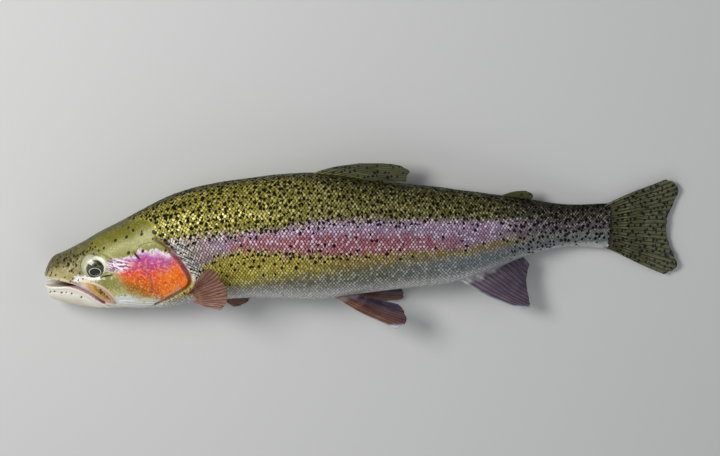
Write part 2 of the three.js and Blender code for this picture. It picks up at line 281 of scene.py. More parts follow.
# %% The outlines
# Places are millimetres behind the snout, then millimetres towards the back.
GILL_COVER = np.vstack([
    through([(90, -9), (98, -1), (111, 2)])[:-1],
    through([(111, 2), (121, -4.5), (134.5, -20), (142.5, -36), (137, -46), (117, -58)])[:-1],
    through([(117, -58), (106.5, -57)])[:-1],
    through([(106.5, -57), (108, -44), (100, -23), (90, -9)])[:-1],
])
GILL_SLIT = through([
    (112, 4), (122.5, -3.5), (136.5, -19), (144.5, -36), (139, -47), (117, -61), (100, -70),
])
SCALES_BEGIN = through([
    (40, 13), (70, 13), (78, 15), (86, 17), (95, 18.7), (103, 18.5), (107, 14.5), (106.5, 9), (112, 4),
])
MAXILLA = np.vstack([
    through([(26, -40), (36, -40.4), (50, -43.4), (60, -48.6), (67, -56), (70.5, -62)])[:-1],
    through([(70.5, -62), (70, -64.8), (66, -64.2)])[:-1],
    through([(66, -64.2), (57, -60.6), (48, -53), (36, -46.8), (26, -43)])[:-1],
])
upper_lip = smooth_curve(
    [-30, 13, 25, 35, 48, 58, 66, 70], [-42.2, -42.4, -44.4, -47.8, -54.4, -62, -66.2, -68],
)
lower_lip = smooth_curve(
    [-30, 13, 25, 35, 47, 57, 64.5, 70], [-50, -48.8, -47.6, -50, -56.2, -63.8, -67.2, -69],
)
print("the mouth gapes", round(float(upper_lip(5.0) - lower_lip(5.0)), 1), "mm at the front")

# %% [markdown]
# ## Modelling the head
#
# The head could be carved with sculpting brushes, but heights written as sums of ridges and
# grooves can be measured and changed at any time. Each feature adds its own few lines: how high
# the skin stands, in millimetres, at some distance from that feature's outline.


# %% Eyes first, because the lids fit round them
EYE_AT, EYE_ANGLE = 53.5, 0.29
EYE_TIP, EYE_TURN = 0.16, 0.13
EYE_RADIUS, EYE_HALF_THICKNESS, EYE_PROUD = 12.4, 6.6, 2.2
# Ovals round the eye: its middle tailwards and backwards of the eye's own, then half its length
# and half its height.
LIDS, ORBIT = (1.0, -1.7, 10.2, 8.9), (1.9, 1.0, 14.7, 11.2)
# Skin further below an eye's middle, or further from it, isn't part of its lids.
EYE_BACK, LID_REACH = -3.0, 30.0


def eye_frame(side):
    """The middle of an eye and its own axes: tailwards, backwards and outwards."""
    angle = EYE_ANGLE if side > 0 else math.pi - EYE_ANGLE
    centre = body_point(EYE_AT, angle) + [0, 0, side * (EYE_PROUD - EYE_HALF_THICKNESS)]
    about_x = np.array(Matrix.Rotation(-side * EYE_TIP, 3, "X"))
    about_y = np.array(Matrix.Rotation(-side * EYE_TURN, 3, "Y"))
    return centre, about_y @ about_x @ np.diag([1, 1, side])


EYES = {side: eye_frame(side) for side in (1, -1)}
print("the left eye is centred at", EYES[1][0].round(1), "mm")

# %% [markdown]
# The gill cover is a stiff plate whose rear edge stands free over the gill slit. In front of it
# the cheek ends in a curved groove, and below it soft folds of skin hang between thin bones.


# %% Gill cover, cheek and throat
CHEEK_GROOVE = through([(90, -10.5), (95, -16), (103, -27), (106, -36.5), (107.5, -44), (107, -51)])
CHEEK_FOLD = through([(107, -51), (100, -56.5), (88, -59), (74, -60)])
COVER_SUTURE = through([(108, -43.5), (120, -44.5), (132, -42), (141, -38.5)])
# Millimetres of skin from the middle of the throat, at millimetres behind the snout.
jaw_bone = smooth_curve([4, 15, 40, 70, 90], [0.5, 3.5, 9.0, 12.5, 12.5])
isthmus = smooth_curve([50, 80, 115], [8.0, 5.5, 2.5])
RAY_STEP, RAY_HEIGHT = 3.8, 0.38
SLIT_FRONT = 108.0


def gill_relief(x, y):
    """The proud plate of the cover, the slit behind it, and grooves where bones meet."""
    plate = signed_distance(GILL_COVER, x, y)
    lines = (GILL_SLIT, CHEEK_GROOVE, CHEEK_FOLD, COVER_SUTURE)
    slit, groove, fold, suture = (distance_to(line, x, y)[0] for line in lines)
    height = 0.75 * ease(-0.3, 1.6, plate)
    height -= 1.5 * bump(slit - 0.6, 1.5) * ((plate < 0) & (x > SLIT_FRONT))
    height -= 1.0 * bump(groove, 1.2) - 0.4 * bump(groove - 3.2, 2.2)
    return height - 0.5 * bump(fold, 1.4) - 0.28 * bump(suture, 0.8)


def throat_relief(at, share):
    """Two jaw bones meeting at the chin, then the fan of thin rays that holds the gill skin."""
    middle = (1 - share) * half_girth(at)
    from_jaw, from_tongue = middle - jaw_bone(at), middle - isthmus(at)
    jaw = ease(6, 16, at) * (1 - ease(64, 80, at))
    fan = ease(62, 76, at) * (1 - ease(104, 114, at))
    height = -0.9 * bump(from_jaw, 1.5) * jaw - 0.6 * ease(0, 3, -from_jaw) * jaw
    height -= 1.1 * bump(from_tongue, 1.1) * fan
    rays = np.sin(from_tongue * (2 * math.pi / RAY_STEP))
    spread = ease(1, 3, from_tongue) * (1 - ease(20, 25, from_tongue))
    return height + RAY_HEIGHT * rays * spread * fan


print("the gill slit reaches back to", GILL_SLIT[:, 0].max().round(1), "mm behind the snout")

# %% [markdown]
# Round the mouth, the lips are soft rolls, and a long blade of bone lies along the upper jaw.
# Two small pits ahead of each eye are the nostrils.


# %% Lips, upper jaw, nostrils and lids
NOSTRILS = [(20.6, -22.0, 1.1), (24.6, -25.6, 1.5)]


def jaw_relief(x, y):
    """The blade of the upper jaw, the rolls of the lips, and the nostrils."""
    blade = signed_distance(MAXILLA, x, y)
    above, below = y - upper_lip(x), lower_lip(x) - y
    mouth = 1 - ease(58, 66, x)
    height = 0.7 * ease(-0.2, 1.4, blade) - 0.55 * bump(blade + 0.9, 0.8) * ease(22, 30, x)
    height -= 0.3 * bump(blade - 2.6, 0.7) * ease(34, 44, x)
    height += 0.8 * bump(above - 1.5, 1.3) * mouth * (1 - ease(18, 30, x))
    height += 0.9 * bump(below - 1.6, 1.5) * mouth
    height -= 0.45 * bump(below - 6.6, 1.2) * mouth * ease(-2, 8, x)
    for px, py, radius in NOSTRILS:
        d = np.hypot(x - px, y - py)
        height += 0.45 * bump(d - radius - 0.5, 0.7) - 1.7 * (1 - ease(radius * 0.4, radius, d))
    return height


def inwards(local, oval):
    """Millimetres inwards from an oval round the eye, at most its half height."""
    x, y, half_length, half_height = oval
    out = np.hypot((local[..., 0] - x) / half_length, (local[..., 1] - y) / half_height)
    return (1 - out) * half_height


def lid_relief(points, side):
    """Skin drawn over the ball of the eye to the edge of the lids, and sunk within it."""
    centre, axes = EYES[side]
    local = (points - centre) @ axes
    r = np.hypot(local[..., 0], local[..., 1])
    near = (local[..., 2] > EYE_BACK) & (r < LID_REACH)
    lids, orbit = inwards(local, LIDS), inwards(local, ORBIT)
    ball = EYE_HALF_THICKNESS * (np.sqrt(np.clip(1 - (r / EYE_RADIUS) ** 2, 0, 1)) - 1) + EYE_PROUD
    height = np.maximum(ball + 0.45, 0.5 * ease(0, 3, orbit)) * ease(-1.0, 2.8, orbit)
    height -= 0.45 * bump(orbit + 0.6, 0.8) - 0.35 * bump(orbit + 3.0, 1.8)
    height += 0.3 * bump(lids + 0.9, 0.7) - 6.0 * ease(-0.3, 0.7, lids)
    return np.where(near, height, 0.0)


# %% [markdown]
# The mouth gapes a little. Skin between the lips isn't cut away: it is drawn inwards, as a real
# mouth is lined with skin, so the body stays one closed surface.


# %% Draw the mouth inwards
MOUTH_END, MOUTH_PULL = 60, 30


def open_mouth(points, x, y):
    """Pulls what lies between the lips back and in, to line the mouth."""
    from_upper, from_lower = upper_lip(x) - y, y - lower_lip(x)
    gape = from_upper + from_lower
    nearest = np.minimum(from_upper, from_lower)
    depth = np.clip(nearest / (gape / 2), 0, 1) ** 0.55 * ease(0.4, 2.2, gape)
    depth = np.where((nearest > 0) & (x < MOUTH_END), depth, 0.0)
    axis = axis_point(x)
    middle = (upper_lip(x) + lower_lip(x)) / 2
    target = np.stack([
        points[..., 0] + MOUTH_PULL * (1 - np.clip(x, 0, MOUTH_END) / MOUTH_END),
        middle - 1.5 + (points[..., 1] - middle) * 1.5,
        axis[..., 2] + (points[..., 2] - axis[..., 2]) * 0.45,
    ], axis=-1)
    return points + depth[..., None] * (target - points), depth


def press_on_floor(points, floor, softness=0.7):
    """Flattens what would sink below the floor."""
    h = points[..., 2] - floor
    flat = floor + 0.5 * (h + np.sqrt(h * h + softness * softness))
    return np.concatenate([points[..., :2], flat[..., None]], axis=-1)


# %% [markdown]
# ## One skin over the whole fish
#
# The rings are stacked into a grid, each point is moved out or in by the reliefs, and the grid
# becomes one mesh. On the trunk the skin lies a scale's depth under the solid model's surface,
# so that the scales on top end where the solid does.


# %% The grid of the skin
SCALE_DEPTH, SKIN_INSET, RIPPLE = 0.45, 0.12, 0.12
COLUMNS = 2 * (len(SHARES) - 1)
ring_share = np.concatenate([SHARES, SHARES[-2:0:-1]])
ring_side = np.where(np.arange(COLUMNS) < len(SHARES), 1.0, -1.0)

grid_at = np.repeat(RING_AT[:, None], COLUMNS, axis=1)
grid_share = np.repeat(ring_share[None, :], len(RING_AT), axis=0)
grid_side = np.repeat(ring_side[None, :], len(RING_AT), axis=0)
grid_angle = np.concatenate([ANGLE_TABLE, math.pi - ANGLE_TABLE[:, -2:0:-1]], axis=1)


def grid_normals(points):
    """Outward directions on a grid of rings, each ring closed on itself."""
    along = np.gradient(points, axis=0)
    around = np.roll(points, -1, axis=1) - np.roll(points, 1, axis=1)
    return unit(np.cross(around, along))


def behind_the_head(x, y):
    """Millimetres behind the edge of the bare head, on the plane of the flanks."""
    edge = np.vstack([SCALES_BEGIN[:-1], GILL_SLIT, [(96, -90), (-90, -90), (-90, 13)]])
    return -signed_distance(edge, x, y)


def scaled(at, behind):
    """1 where scales grow and 0 on the bare head."""
    return ease(-0.5, 1.5, behind) * ease(72, 80, at)


def sculpted_skin():
    """The points of the skin, and how deep each is drawn into the mouth."""
    flat = body_point(grid_at, grid_angle, SKIN_INSET)
    out = grid_normals(flat)
    x, y = flat[..., 0] + ORIGIN_AT, flat[..., 1]
    head = RING_AT < HEAD_END
    height = np.zeros(flat.shape[:2])
    height[head] = gill_relief(x[head], y[head]) + jaw_relief(x[head], y[head])
    height[head] += throat_relief(grid_at[head], grid_share[head])
    for side in (1, -1):
        height[head] += lid_relief(flat[head], side)
    behind = behind_the_head(x, y)
    height -= 0.9 * bump(behind - 0.6, 1.2) * ease(-56, -62, y) * (grid_at > 80)
    room = ease(-3.5, 5.0, behind) * ease(72, 84, grid_at)
    height -= (SCALE_DEPTH - SKIN_INSET) * room
    ripple = np.sin(grid_at / 9.0 + 5 * grid_share)
    ripple = ripple * np.sin(grid_at / 23.0 + 9 * grid_share + grid_side)
    height += RIPPLE * ripple * ease(20, 60, grid_at) - RIPPLE
    moved, mouth = open_mouth(flat + out * height[..., None], x, y)
    return press_on_floor(moved, SCALE_DEPTH), mouth


SKIN, MOUTH_DEPTH = sculpted_skin()
SKIN_OUT = grid_normals(SKIN)
print("the skin has", SKIN.shape[0], "rings of", SKIN.shape[1], "points")
print("it reaches from", SKIN.min(axis=(0, 1)).round(1), "to", SKIN.max(axis=(0, 1)).round(1), "mm")

# %% [markdown]
# ## Where each colour lies
#
# A rainbow trout is olive above, rose along the flank and silver below, with black spots that
# thin out downwards. Skin and scales must carry the same markings, so one function tells the
# strength of each colour at any place on the fish, and every mesh stores its answers as
# attributes for the shaders to mix.


# %% Zones of colour
PLACES = [90, 150, 180, 225, 275, 325, 425, 475, 560]
band_top = smooth_curve(PLACES, [0.37, 0.385, 0.41, 0.40, 0.355, 0.34, 0.33, 0.36, 0.40])
band_foot = smooth_curve(PLACES, [0.66, 0.60, 0.53, 0.54, 0.565, 0.56, 0.555, 0.54, 0.52])
brass_foot = smooth_curve(PLACES, [0.84, 0.82, 0.79, 0.73, 0.68, 0.64, 0.62, 0.64, 0.66])


def zones(at, share, x, y, shift=0.0):
    """Strengths from 0 to 1, at millimetres from the snout and shares of the half girth."""
    top, foot, brass = band_top(at), band_foot(at), brass_foot(at)
    behind = behind_the_head(x, y)
    trunk = scaled(at, behind)
    near_slit = ease(0, 2, behind) * (1 - ease(8, 19, behind))
    streaked = near_slit * (1 - ease(1, 8, y)) * ease(-46, -34, y)
    tail = ease(425, 485, at)
    moved = share + shift
    band = ease(top - 0.04, top + 0.035, moved) * (1 - ease(foot - 0.035, foot + 0.03, moved))
    pepper = 1 - 0.88 * ease(top, top + 0.06, share) + 0.5 * bump(share - foot - 0.01, 0.035)
    pepper = pepper + 0.32 * ease(foot - 0.02, foot + 0.02, share) * (1 - ease(280, 330, at))
    pepper = pepper * (1 - ease(brass - 0.13, brass + 0.01, share))
    pepper = np.maximum(pepper, tail * (1 - ease(0.74, 0.90, share)))
    pepper = pepper * (1 - 0.7 * ease(170, 150, at) * ease(0.40, 0.52, share))
    snout = (1 - ease(34, 56, x)) * (1 - ease(0.42, 0.56, share))
    strengths = {
        "trunk": trunk,
        "tail": tail,
        "band": band * trunk * (1 - 0.75 * tail) * (0.5 + 0.5 * ease(140, 190, at)),
        "rose": ease(0.395, 0.475, moved) * (1 - ease(335, 450, at)) * ease(160, 215, at),
        "below": ease(foot - 0.015, foot + 0.02, moved),
        "belly": np.maximum(ease(brass - 0.08, brass + 0.07, moved), 0.85 * tail),
        "keel": ease(0.74, 0.88, share) * trunk,
        "ridge": 1 - ease(0.02, 0.12 + 0.16 * ease(225, 330, at), share),
        # Behind the gill slit: where the streaks of painted highlight lie.
        "shoulder": streaked * ease(104, 110, at),
        "pepper": np.where(trunk > 0.5, pepper, 0.22 * snout),
    }
    return {key: value.ravel() for key, value in strengths.items()}


def spread_out(at, share, side):
    """Metres along the fish, then metres of skin from the middle of the back to either side."""
    around = side * share * half_girth(at)
    return np.stack([at * MM, around * MM, 0 * at], -1).reshape(-1, 3)


band_width = (band_foot(264) - band_top(264)) * half_girth(264)
print("the band is", round(float(band_width), 1), "mm wide under the dorsal fin")

# %% [markdown]
# ## Meshes from arrays
#
# Hundreds of thousands of faces are quickest made in one go, from arrays of points and corners.
# This helper also stores named values on the points, and a UV map where one is given.


# %% Make a mesh
def make_piece(name, points, faces, values, uv=None):
    """Points in millimetres. Faces are arrays of corners, all of one array the same length."""
    mesh = bpy.data.meshes.new(name)
    corners = np.concatenate([f.ravel() for f in faces])
    totals = np.concatenate([np.full(len(f), f.shape[1]) for f in faces])
    mesh.vertices.add(len(points))
    mesh.vertices.foreach_set("co", (points * MM).astype(np.float32).ravel())
    mesh.loops.add(len(corners))
    mesh.loops.foreach_set("vertex_index", corners.astype(np.int32))
    mesh.polygons.add(len(totals))
    starts = np.concatenate([[0], np.cumsum(totals)[:-1]])
    mesh.polygons.foreach_set("loop_start", starts.astype(np.int32))
    mesh.polygons.foreach_set("use_smooth", np.full(len(totals), True))
    for key, value in values.items():
        kind, field = ("FLOAT", "value") if value.ndim == 1 else ("FLOAT_VECTOR", "vector")
        mesh.attributes.new(key, kind, "POINT").data.foreach_set(
            field, value.astype(np.float32).ravel()
        )
    if uv is not None:
        layer = mesh.uv_layers.new(name="OFBake")
        layer.data.foreach_set("uv", uv.astype(np.float32).ravel())
    mesh.update(calc_edges=True)
    piece = bpy.data.objects.new(name, mesh)
    bpy.context.collection.objects.link(piece)
    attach(piece, "root")
    return piece


def tube_faces(rings, columns):
    """Quads between rings of points, each ring closed on itself."""
    r, c = np.meshgrid(np.arange(rings - 1), np.arange(columns), indexing="ij")
    n = (c + 1) % columns
    here, next_ring = r * columns, (r + 1) * columns
    return np.stack([here + c, here + n, next_ring + n, next_ring + c], -1).reshape(-1, 4)


def fan_faces(hub, first, columns):
    """Triangles from one point to each side of a ring that starts at some other point."""
    k = np.arange(columns)
    return np.stack([np.full(columns, hub), first + k, first + (k + 1) % columns], -1)


def turns(faces, columns):
    """The ring of each corner, and its turn round that ring, which the last face ends at 1."""
    ring, column = np.divmod(faces, columns)
    wraps = (column == 0) & (column.max(axis=1, keepdims=True) == columns - 1)
    return ring, (column + columns * wraps) / columns


print("one step of a tube of four corners has", len(tube_faces(2, 4)), "faces")

# %% [markdown]
# The shaders of the head need more than the zones of the trunk. How deep a point lies inside
# the outlines of the bones, the lips and the rims of the eyes is stored on the skin as well.


# %% Values on the skin
def round_the_eye(points):
    """Millimetres inwards from the oval round each eye, and 0 outside both."""
    rim = np.zeros(points.shape[:-1])
    for centre, axes in EYES.values():
        local = (points - centre) @ axes
        rim = np.maximum(rim, np.clip(inwards(local, ORBIT), 0, 9) * (local[..., 2] > EYE_BACK))
    return rim


def creases(x, y):
    """1 deep in the slit behind the gill cover, then 1 deep in the groove of the cheek."""
    slit, _ = distance_to(GILL_SLIT, x, y)
    groove, _ = distance_to(CHEEK_GROOVE, x, y)
    behind = (signed_distance(GILL_COVER, x, y) < 0) & (x > SLIT_FRONT)
    return bump(slit - 0.6, 1.1) * behind, bump(groove, 0.7)


FLUSH_PLACES = [60, 65, 75, 85, 95, 105, 115, 125, 135, 145]
flush_top = smooth_curve(FLUSH_PLACES, [-18, -17.5, -17, -14, -8.5, -6.4, -6.6, -10.5, -22, -36])
flush_foot = smooth_curve(FLUSH_PLACES, [-31, -34, -45, -51.5, -57, -59, -59, -58.5, -58, -58])
UNDER_EYE = through([(29, -40.0), (45, -38.6), (55, -38.3), (62, -37.6), (67, -36.4)])


def skin_values():
    """All values of the skin's points, ring after ring."""
    x, y = SKIN[..., 0] + ORIGIN_AT, SKIN[..., 1]
    values = zones(grid_at, grid_share, x, y)
    above, below = y - upper_lip(x), lower_lip(x) - y
    front = (grid_at < 80) * (1 - ease(62, 72, x))
    slit, groove = creases(x, y)
    extra = {
        "blade": signed_distance(MAXILLA, x, y, 6.0),
        "plate": signed_distance(GILL_COVER, x, y, 6.0),
        "upper_lip": front * (1 - ease(1.2, 3.0, above)) * (above > -2),
        "lower_jaw": front * ease(-1.5, 0.3, below),
        "below_lip": np.clip(below, -2, 22),
        "flush": np.clip((flush_top(x) - y) / (flush_top(x) - flush_foot(x)), -1, 2),
        "stripe": np.clip(distance_to(UNDER_EYE, x, y)[0], 0, 8),
        "mouth": MOUTH_DEPTH,
        "orbit": round_the_eye(SKIN),
        "slit": slit,
        "groove": groove,
        # How deep the throat's grooves sink, for the painted shade in them.
        "fold": -np.clip(throat_relief(grid_at, grid_share), -1, 0) * (grid_at < 118),
    }
    values.update({key: value.ravel() for key, value in extra.items()})
    values["place"] = spread_out(grid_at, grid_share, grid_side)
    values["drawn"] = np.stack([x, y, grid_share], -1).reshape(-1, 3)
    return values


SKIN_VALUES = skin_values()
print("the skin carries", ", ".join(SKIN_VALUES))

# %% [markdown]
# The skin mesh is the grid itself, closed by a fan of triangles at the snout and at the tail.
# Its UV map unrolls the body: along the fish from left to right, round it from bottom to top,
# with half the width kept for the head, where the small detail is.

# %% The skin
UNROLLED_TO = 565
# Places along the map of a fan's hub and of its two other corners.
SNOUT_FAN, TAIL_FAN = [0.002, 0.01, 0.01], [0.99, 0.982, 0.982]


def unroll(at):
    """Place along the fish from 0 to 1, the head stretched over the first half."""
    behind = 0.5 + 0.48 * (at - HEAD_END) / (UNROLLED_TO - HEAD_END)
    return np.where(at < HEAD_END, 0.01 + 0.49 * at / HEAD_END, behind)


def make_skin():
    points = np.vstack([SKIN.reshape(-1, 3), SKIN[0].mean(axis=0), SKIN[-1].mean(axis=0)])
    around = tube_faces(len(SKIN), COLUMNS)
    snout = fan_faces(len(points) - 2, 0, COLUMNS)[:, [0, 2, 1]]
    tail = fan_faces(len(points) - 1, (len(SKIN) - 1) * COLUMNS, COLUMNS)
    ring, turn = turns(around, COLUMNS)
    k = np.arange(COLUMNS)
    fan_v = np.stack([k + 0.5, k + 1, k], -1) / COLUMNS
    maps = [
        (unroll(RING_AT[ring]), turn),
        (np.broadcast_to(SNOUT_FAN, fan_v.shape), fan_v),
        (np.broadcast_to(TAIL_FAN, fan_v.shape), fan_v[:, [0, 2, 1]]),
    ]
    uv = np.concatenate([np.stack(pair, -1).reshape(-1, 2) for pair in maps])
    values = {key: np.concatenate([v, v[:1], v[-1:]]) for key, v in SKIN_VALUES.items()}
    return make_piece("trout_skin", points, [around, snout, tail], values, uv)


skin = make_skin()
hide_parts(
    "head", "lower_jaw", "maxilla_left", "maxilla_right", "gill_cover_left",
    "gill_cover_right", "trunk_front", "trunk_middle", "trunk_rear", "tail_stalk",
)
print("the skin has", len(skin.data.polygons), "faces")

# %% [markdown]
# ## Scales
#
# A trout has well over a hundred rows of small oval scales, each rooted in the skin and lying
# back over the next like a roof tile. They could be instanced along the surface, but copies of
# one stiff plate would stand off a curved flank. So the corners of every plate are put on the
# skin one by one in numpy, and each plate bends with the body.


# %% One scale as a template
def scale_template():
    """Corners of one plate: share of its length, share of its half width, and top or bottom."""
    p, q = np.meshgrid([0.0, 0.3, 0.6, 0.85, 1.0], [-1.0, -0.6, 0.0, 0.6, 1.0], indexing="ij")
    number = np.arange(p.size).reshape(p.shape)
    top = np.stack([p.ravel(), q.ravel(), np.ones(p.size)], -1)
    rim = np.concatenate([number[0], number[1:, -1], number[-1, -2::-1], number[-2:0:-1, 0]])
    bottom, hub = top[rim] * [1, 1, 0], [[0.6, 0.0, 0.0]]
    corners = np.vstack([top, bottom, hub])
    squares = (number[:-1, :-1], number[:-1, 1:], number[1:, 1:], number[1:, :-1])
    upper = np.stack([square.ravel() for square in squares], -1)
    under = fan_faces(len(corners) - 1, len(top), len(rim))[:, [0, 2, 1]]
    edge = np.stack([np.roll(rim, -1), rim, under[:, 2], under[:, 1]], -1)
    return corners, np.vstack([upper, edge]), under


CORNERS, SCALE_QUADS, SCALE_TRIANGLES = scale_template()
SCALE_COUNT = 2 * len(SCALE_QUADS) + len(SCALE_TRIANGLES)
print("one scale has", SCALE_COUNT, "triangles")

# %% [markdown]
# Rows keep their distance from the lateral line. Each row is shifted by half a scale against the
# next, and the rows stand closer together at the nape and on the tail stalk, where the scales
# are smaller.


# %% Where the scales grow
FIRST_COLUMN, LAST_COLUMN, MOST_ROWS = 76.0, 549, 80
ALONG = [80, 120, 200, 300, 430, 500, 570]
column_step = smooth_curve(ALONG, [2.3, 2.8, 3.35, 3.4, 3.2, 2.9, 2.8])
row_step = smooth_curve(ALONG, [1.8, 2.1, 2.45, 2.5, 2.2, 1.8, 1.7])
side_line = smooth_curve([80, 150, 250, 400, 570], [0.42, 0.44, 0.46, 0.47, 0.50])


def scale_roots():
    """Places of all scales: millimetres from the snout, share of the half girth, and side."""
    columns, at = [], FIRST_COLUMN
    while at < LAST_COLUMN:
        columns.append(at)
        at += float(column_step(at)) / 2
    places = []
    for i, at in enumerate(columns):
        rows = np.arange(-MOST_ROWS, MOST_ROWS + 1) * 2 + i % 2
        share = float(side_line(at)) + rows * float(row_step(at)) / half_girth(at)
        share = share[(share > 0.004) & (share < 0.996)]
        for side in (1.0, -1.0):
            column = np.full(len(share), at)
            places.append(np.stack([column, share, np.full(len(share), side)], -1))
    places = np.vstack(places)
    places[:, 0] += rng.normal(0, 0.12, len(places))
    flat = body_point(places[:, 0], angle_at(places[:, 0], places[:, 1], places[:, 2]))
    grown = scaled(places[:, 0], behind_the_head(flat[:, 0] + ORIGIN_AT, flat[:, 1]))
    return places[grown > rng.uniform(0.35, 0.9, len(places))]


ROOTS = scale_roots()
print(len(ROOTS), "scales")

# %% [markdown]
# Each corner of a plate has a place on the fish and a height over the skin. A plate starts just
# under the skin and rises towards its free rear edge, and no two are tilted quite alike, which
# is what makes a wet flank glitter.


# %% Lay the scales on the skin
def read_skin(grid, at, share, side):
    """The skin's point or direction at any place, straight between the points of its grid."""
    i, s = ring_below(at, 1.6)
    s = s[..., None]
    turn = np.where(side > 0, share, 2 - share) * (COLUMNS / 2)
    k = np.floor(turn).astype(int)
    t = (turn - k)[..., None]
    k0, k1 = k % COLUMNS, (k + 1) % COLUMNS
    low = grid[i, k0] * (1 - t) + grid[i, k1] * t
    high = grid[i + 1, k0] * (1 - t) + grid[i + 1, k1] * t
    return low * (1 - s) + high * s


SCALE_SINK, SCALE_THICKNESS, SCALE_RISE, SCALE_FLOOR = 0.16, 0.13, 0.36, 0.04
SCALE_STEPS_LONG, SCALE_STEPS_WIDE = 1.66, 0.80


def lay_scales(roots):
    """Points, values and UVs of the plates that grow from some roots."""
    count = len(roots)
    at, share, side = (roots[:, k, None] for k in range(3))
    grown = ease(80, 135, at)
    length = SCALE_STEPS_LONG * column_step(at) * rng.normal(1, 0.05, (count, 1)) * (0.85 + 0.15 * grown)
    half = SCALE_STEPS_WIDE * row_step(at) * rng.normal(1, 0.05, (count, 1))
    rolled = rng.normal(0, 0.06, (count, 1))
    turned = rng.normal(0, 0.06, (count, 1))
    rise = (SCALE_RISE + rng.normal(0, 0.05, (count, 1))) * (0.55 + 0.45 * grown)
    p, q, top = (CORNERS[None, :, k] for k in range(3))
    along = length * p * (1 - 0.34 * q * q * p)
    across = half * q * (0.78 + 0.3 * np.sin(math.pi * np.clip(p, 0, 0.9)))
    back = along * np.cos(turned) - across * np.sin(turned)
    down = along * np.sin(turned) + across * np.cos(turned)
    corner_at = at + back
    corner_share = share + side * down / half_girth(at)
    spread = np.broadcast_to(side, corner_at.shape)
    dome = 0.07 * np.sin(math.pi * p) - 0.10 * q * q * (1 - 0.4 * p) + rolled * q * p
    height = rise * p + dome - SCALE_SINK - SCALE_THICKNESS * (1 - top)
    points = read_skin(SKIN, corner_at, corner_share, spread)
    points = points + read_skin(SKIN_OUT, corner_at, corner_share, spread) * height[..., None]
    points[..., 2] = np.maximum(points[..., 2], SCALE_FLOOR + 0.05 * top)
    held = np.clip(corner_share, 0, 1)
    shift = rng.normal(0, 0.013, (count, 1))
    values = zones(corner_at, held, points[..., 0] + ORIGIN_AT, points[..., 1], shift)
    values["tone"] = np.repeat(rng.uniform(0, 1, count), len(CORNERS))
    values["rim"] = np.broadcast_to(np.clip(p**4 + 0.4 * q**4, 0, 1), corner_at.shape).ravel()
    pored = np.abs(share - side_line(at)) * half_girth(at) < 0.3 * row_step(at)
    values["pore"] = np.repeat(pored.ravel() * 1.0, len(CORNERS))
    values["place"] = spread_out(corner_at, corner_share, spread)
    root_v = np.where(side > 0, share, 2 - share) / 2
    uv = np.stack([unroll(at) + 0.003 * (p - 0.5), root_v + 0.0015 * q], -1)
    return points.reshape(-1, 3), values, uv.reshape(-1, 2)


# %% [markdown]
# One piece with every scale would be too heavy to handle, and thousands of single pieces would
# be no better. Eight coats share them: back, upper flank, lower flank and belly of each side.


# %% The coats of scales
def make_scales(name, roots):
    points, values, uv = lay_scales(roots)
    offsets = (np.arange(len(roots)) * len(CORNERS))[:, None, None]
    quads = (SCALE_QUADS[None] + offsets).reshape(-1, 4)
    triangles = (SCALE_TRIANGLES[None] + offsets).reshape(-1, 3)
    corners = np.concatenate([quads.ravel(), triangles.ravel()])
    piece = make_piece(name, points, [quads, triangles], values, uv[corners])
    return piece


SHARE_BANDS = {
    "back": (0.0, 0.25), "upper_flank": (0.25, 0.5), "lower_flank": (0.5, 0.75), "belly": (0.75, 1.0),
}
scales = []
for side_name, side in (("left", 1.0), ("right", -1.0)):
    for band_name, (first, last) in SHARE_BANDS.items():
        chosen = ROOTS[(ROOTS[:, 2] == side) & (ROOTS[:, 1] >= first) & (ROOTS[:, 1] < last)]
        scales.append(make_scales(f"scales_{band_name}_{side_name}", chosen))
        print(scales[-1].name, "has", len(chosen), "scales,", SCALE_COUNT * len(chosen), "triangles")

# %% [markdown]
# ## Writing shaders as sums
#
# Markings as fine as a trout's are easiest to write as formulas. One small class wraps a socket
# so that Python's own signs add the Math nodes.


# %% Sums on sockets
class Wire:
    """An output socket of a shader node, on which sums can be done."""

    def __init__(self, shader, socket):
        self.shader, self.socket = shader, socket

    def maths(self, operation, *values):
        return self.shader.node("ShaderNodeMath", {"operation": operation}, dict(enumerate(values)))

    def __add__(self, other):
        return self.maths("ADD", self, other)

    def __sub__(self, other):
        return self.maths("SUBTRACT", self, other)

    def __rsub__(self, other):
        return self.maths("SUBTRACT", other, self)

    def __mul__(self, other):
        return self.maths("MULTIPLY", self, other)

    def __lt__(self, other):
        return self.maths("LESS_THAN", self, other)

    __radd__, __rmul__ = __add__, __mul__

    def most(self, other):
        return self.maths("MAXIMUM", self, other)

    def ease(self, low, high):
        """0 below low, 1 above high, and a soft S between."""
        sockets = {"Value": self, "From Min": low, "From Max": high}
        return self.shader.node("ShaderNodeMapRange", {"interpolation_type": "SMOOTHSTEP"}, sockets)


# %% [markdown]
# A second class holds one material. Its method node adds any kind of node, and the others are
# short names for what is used most: values stored on the mesh, noise, and layers of colour.


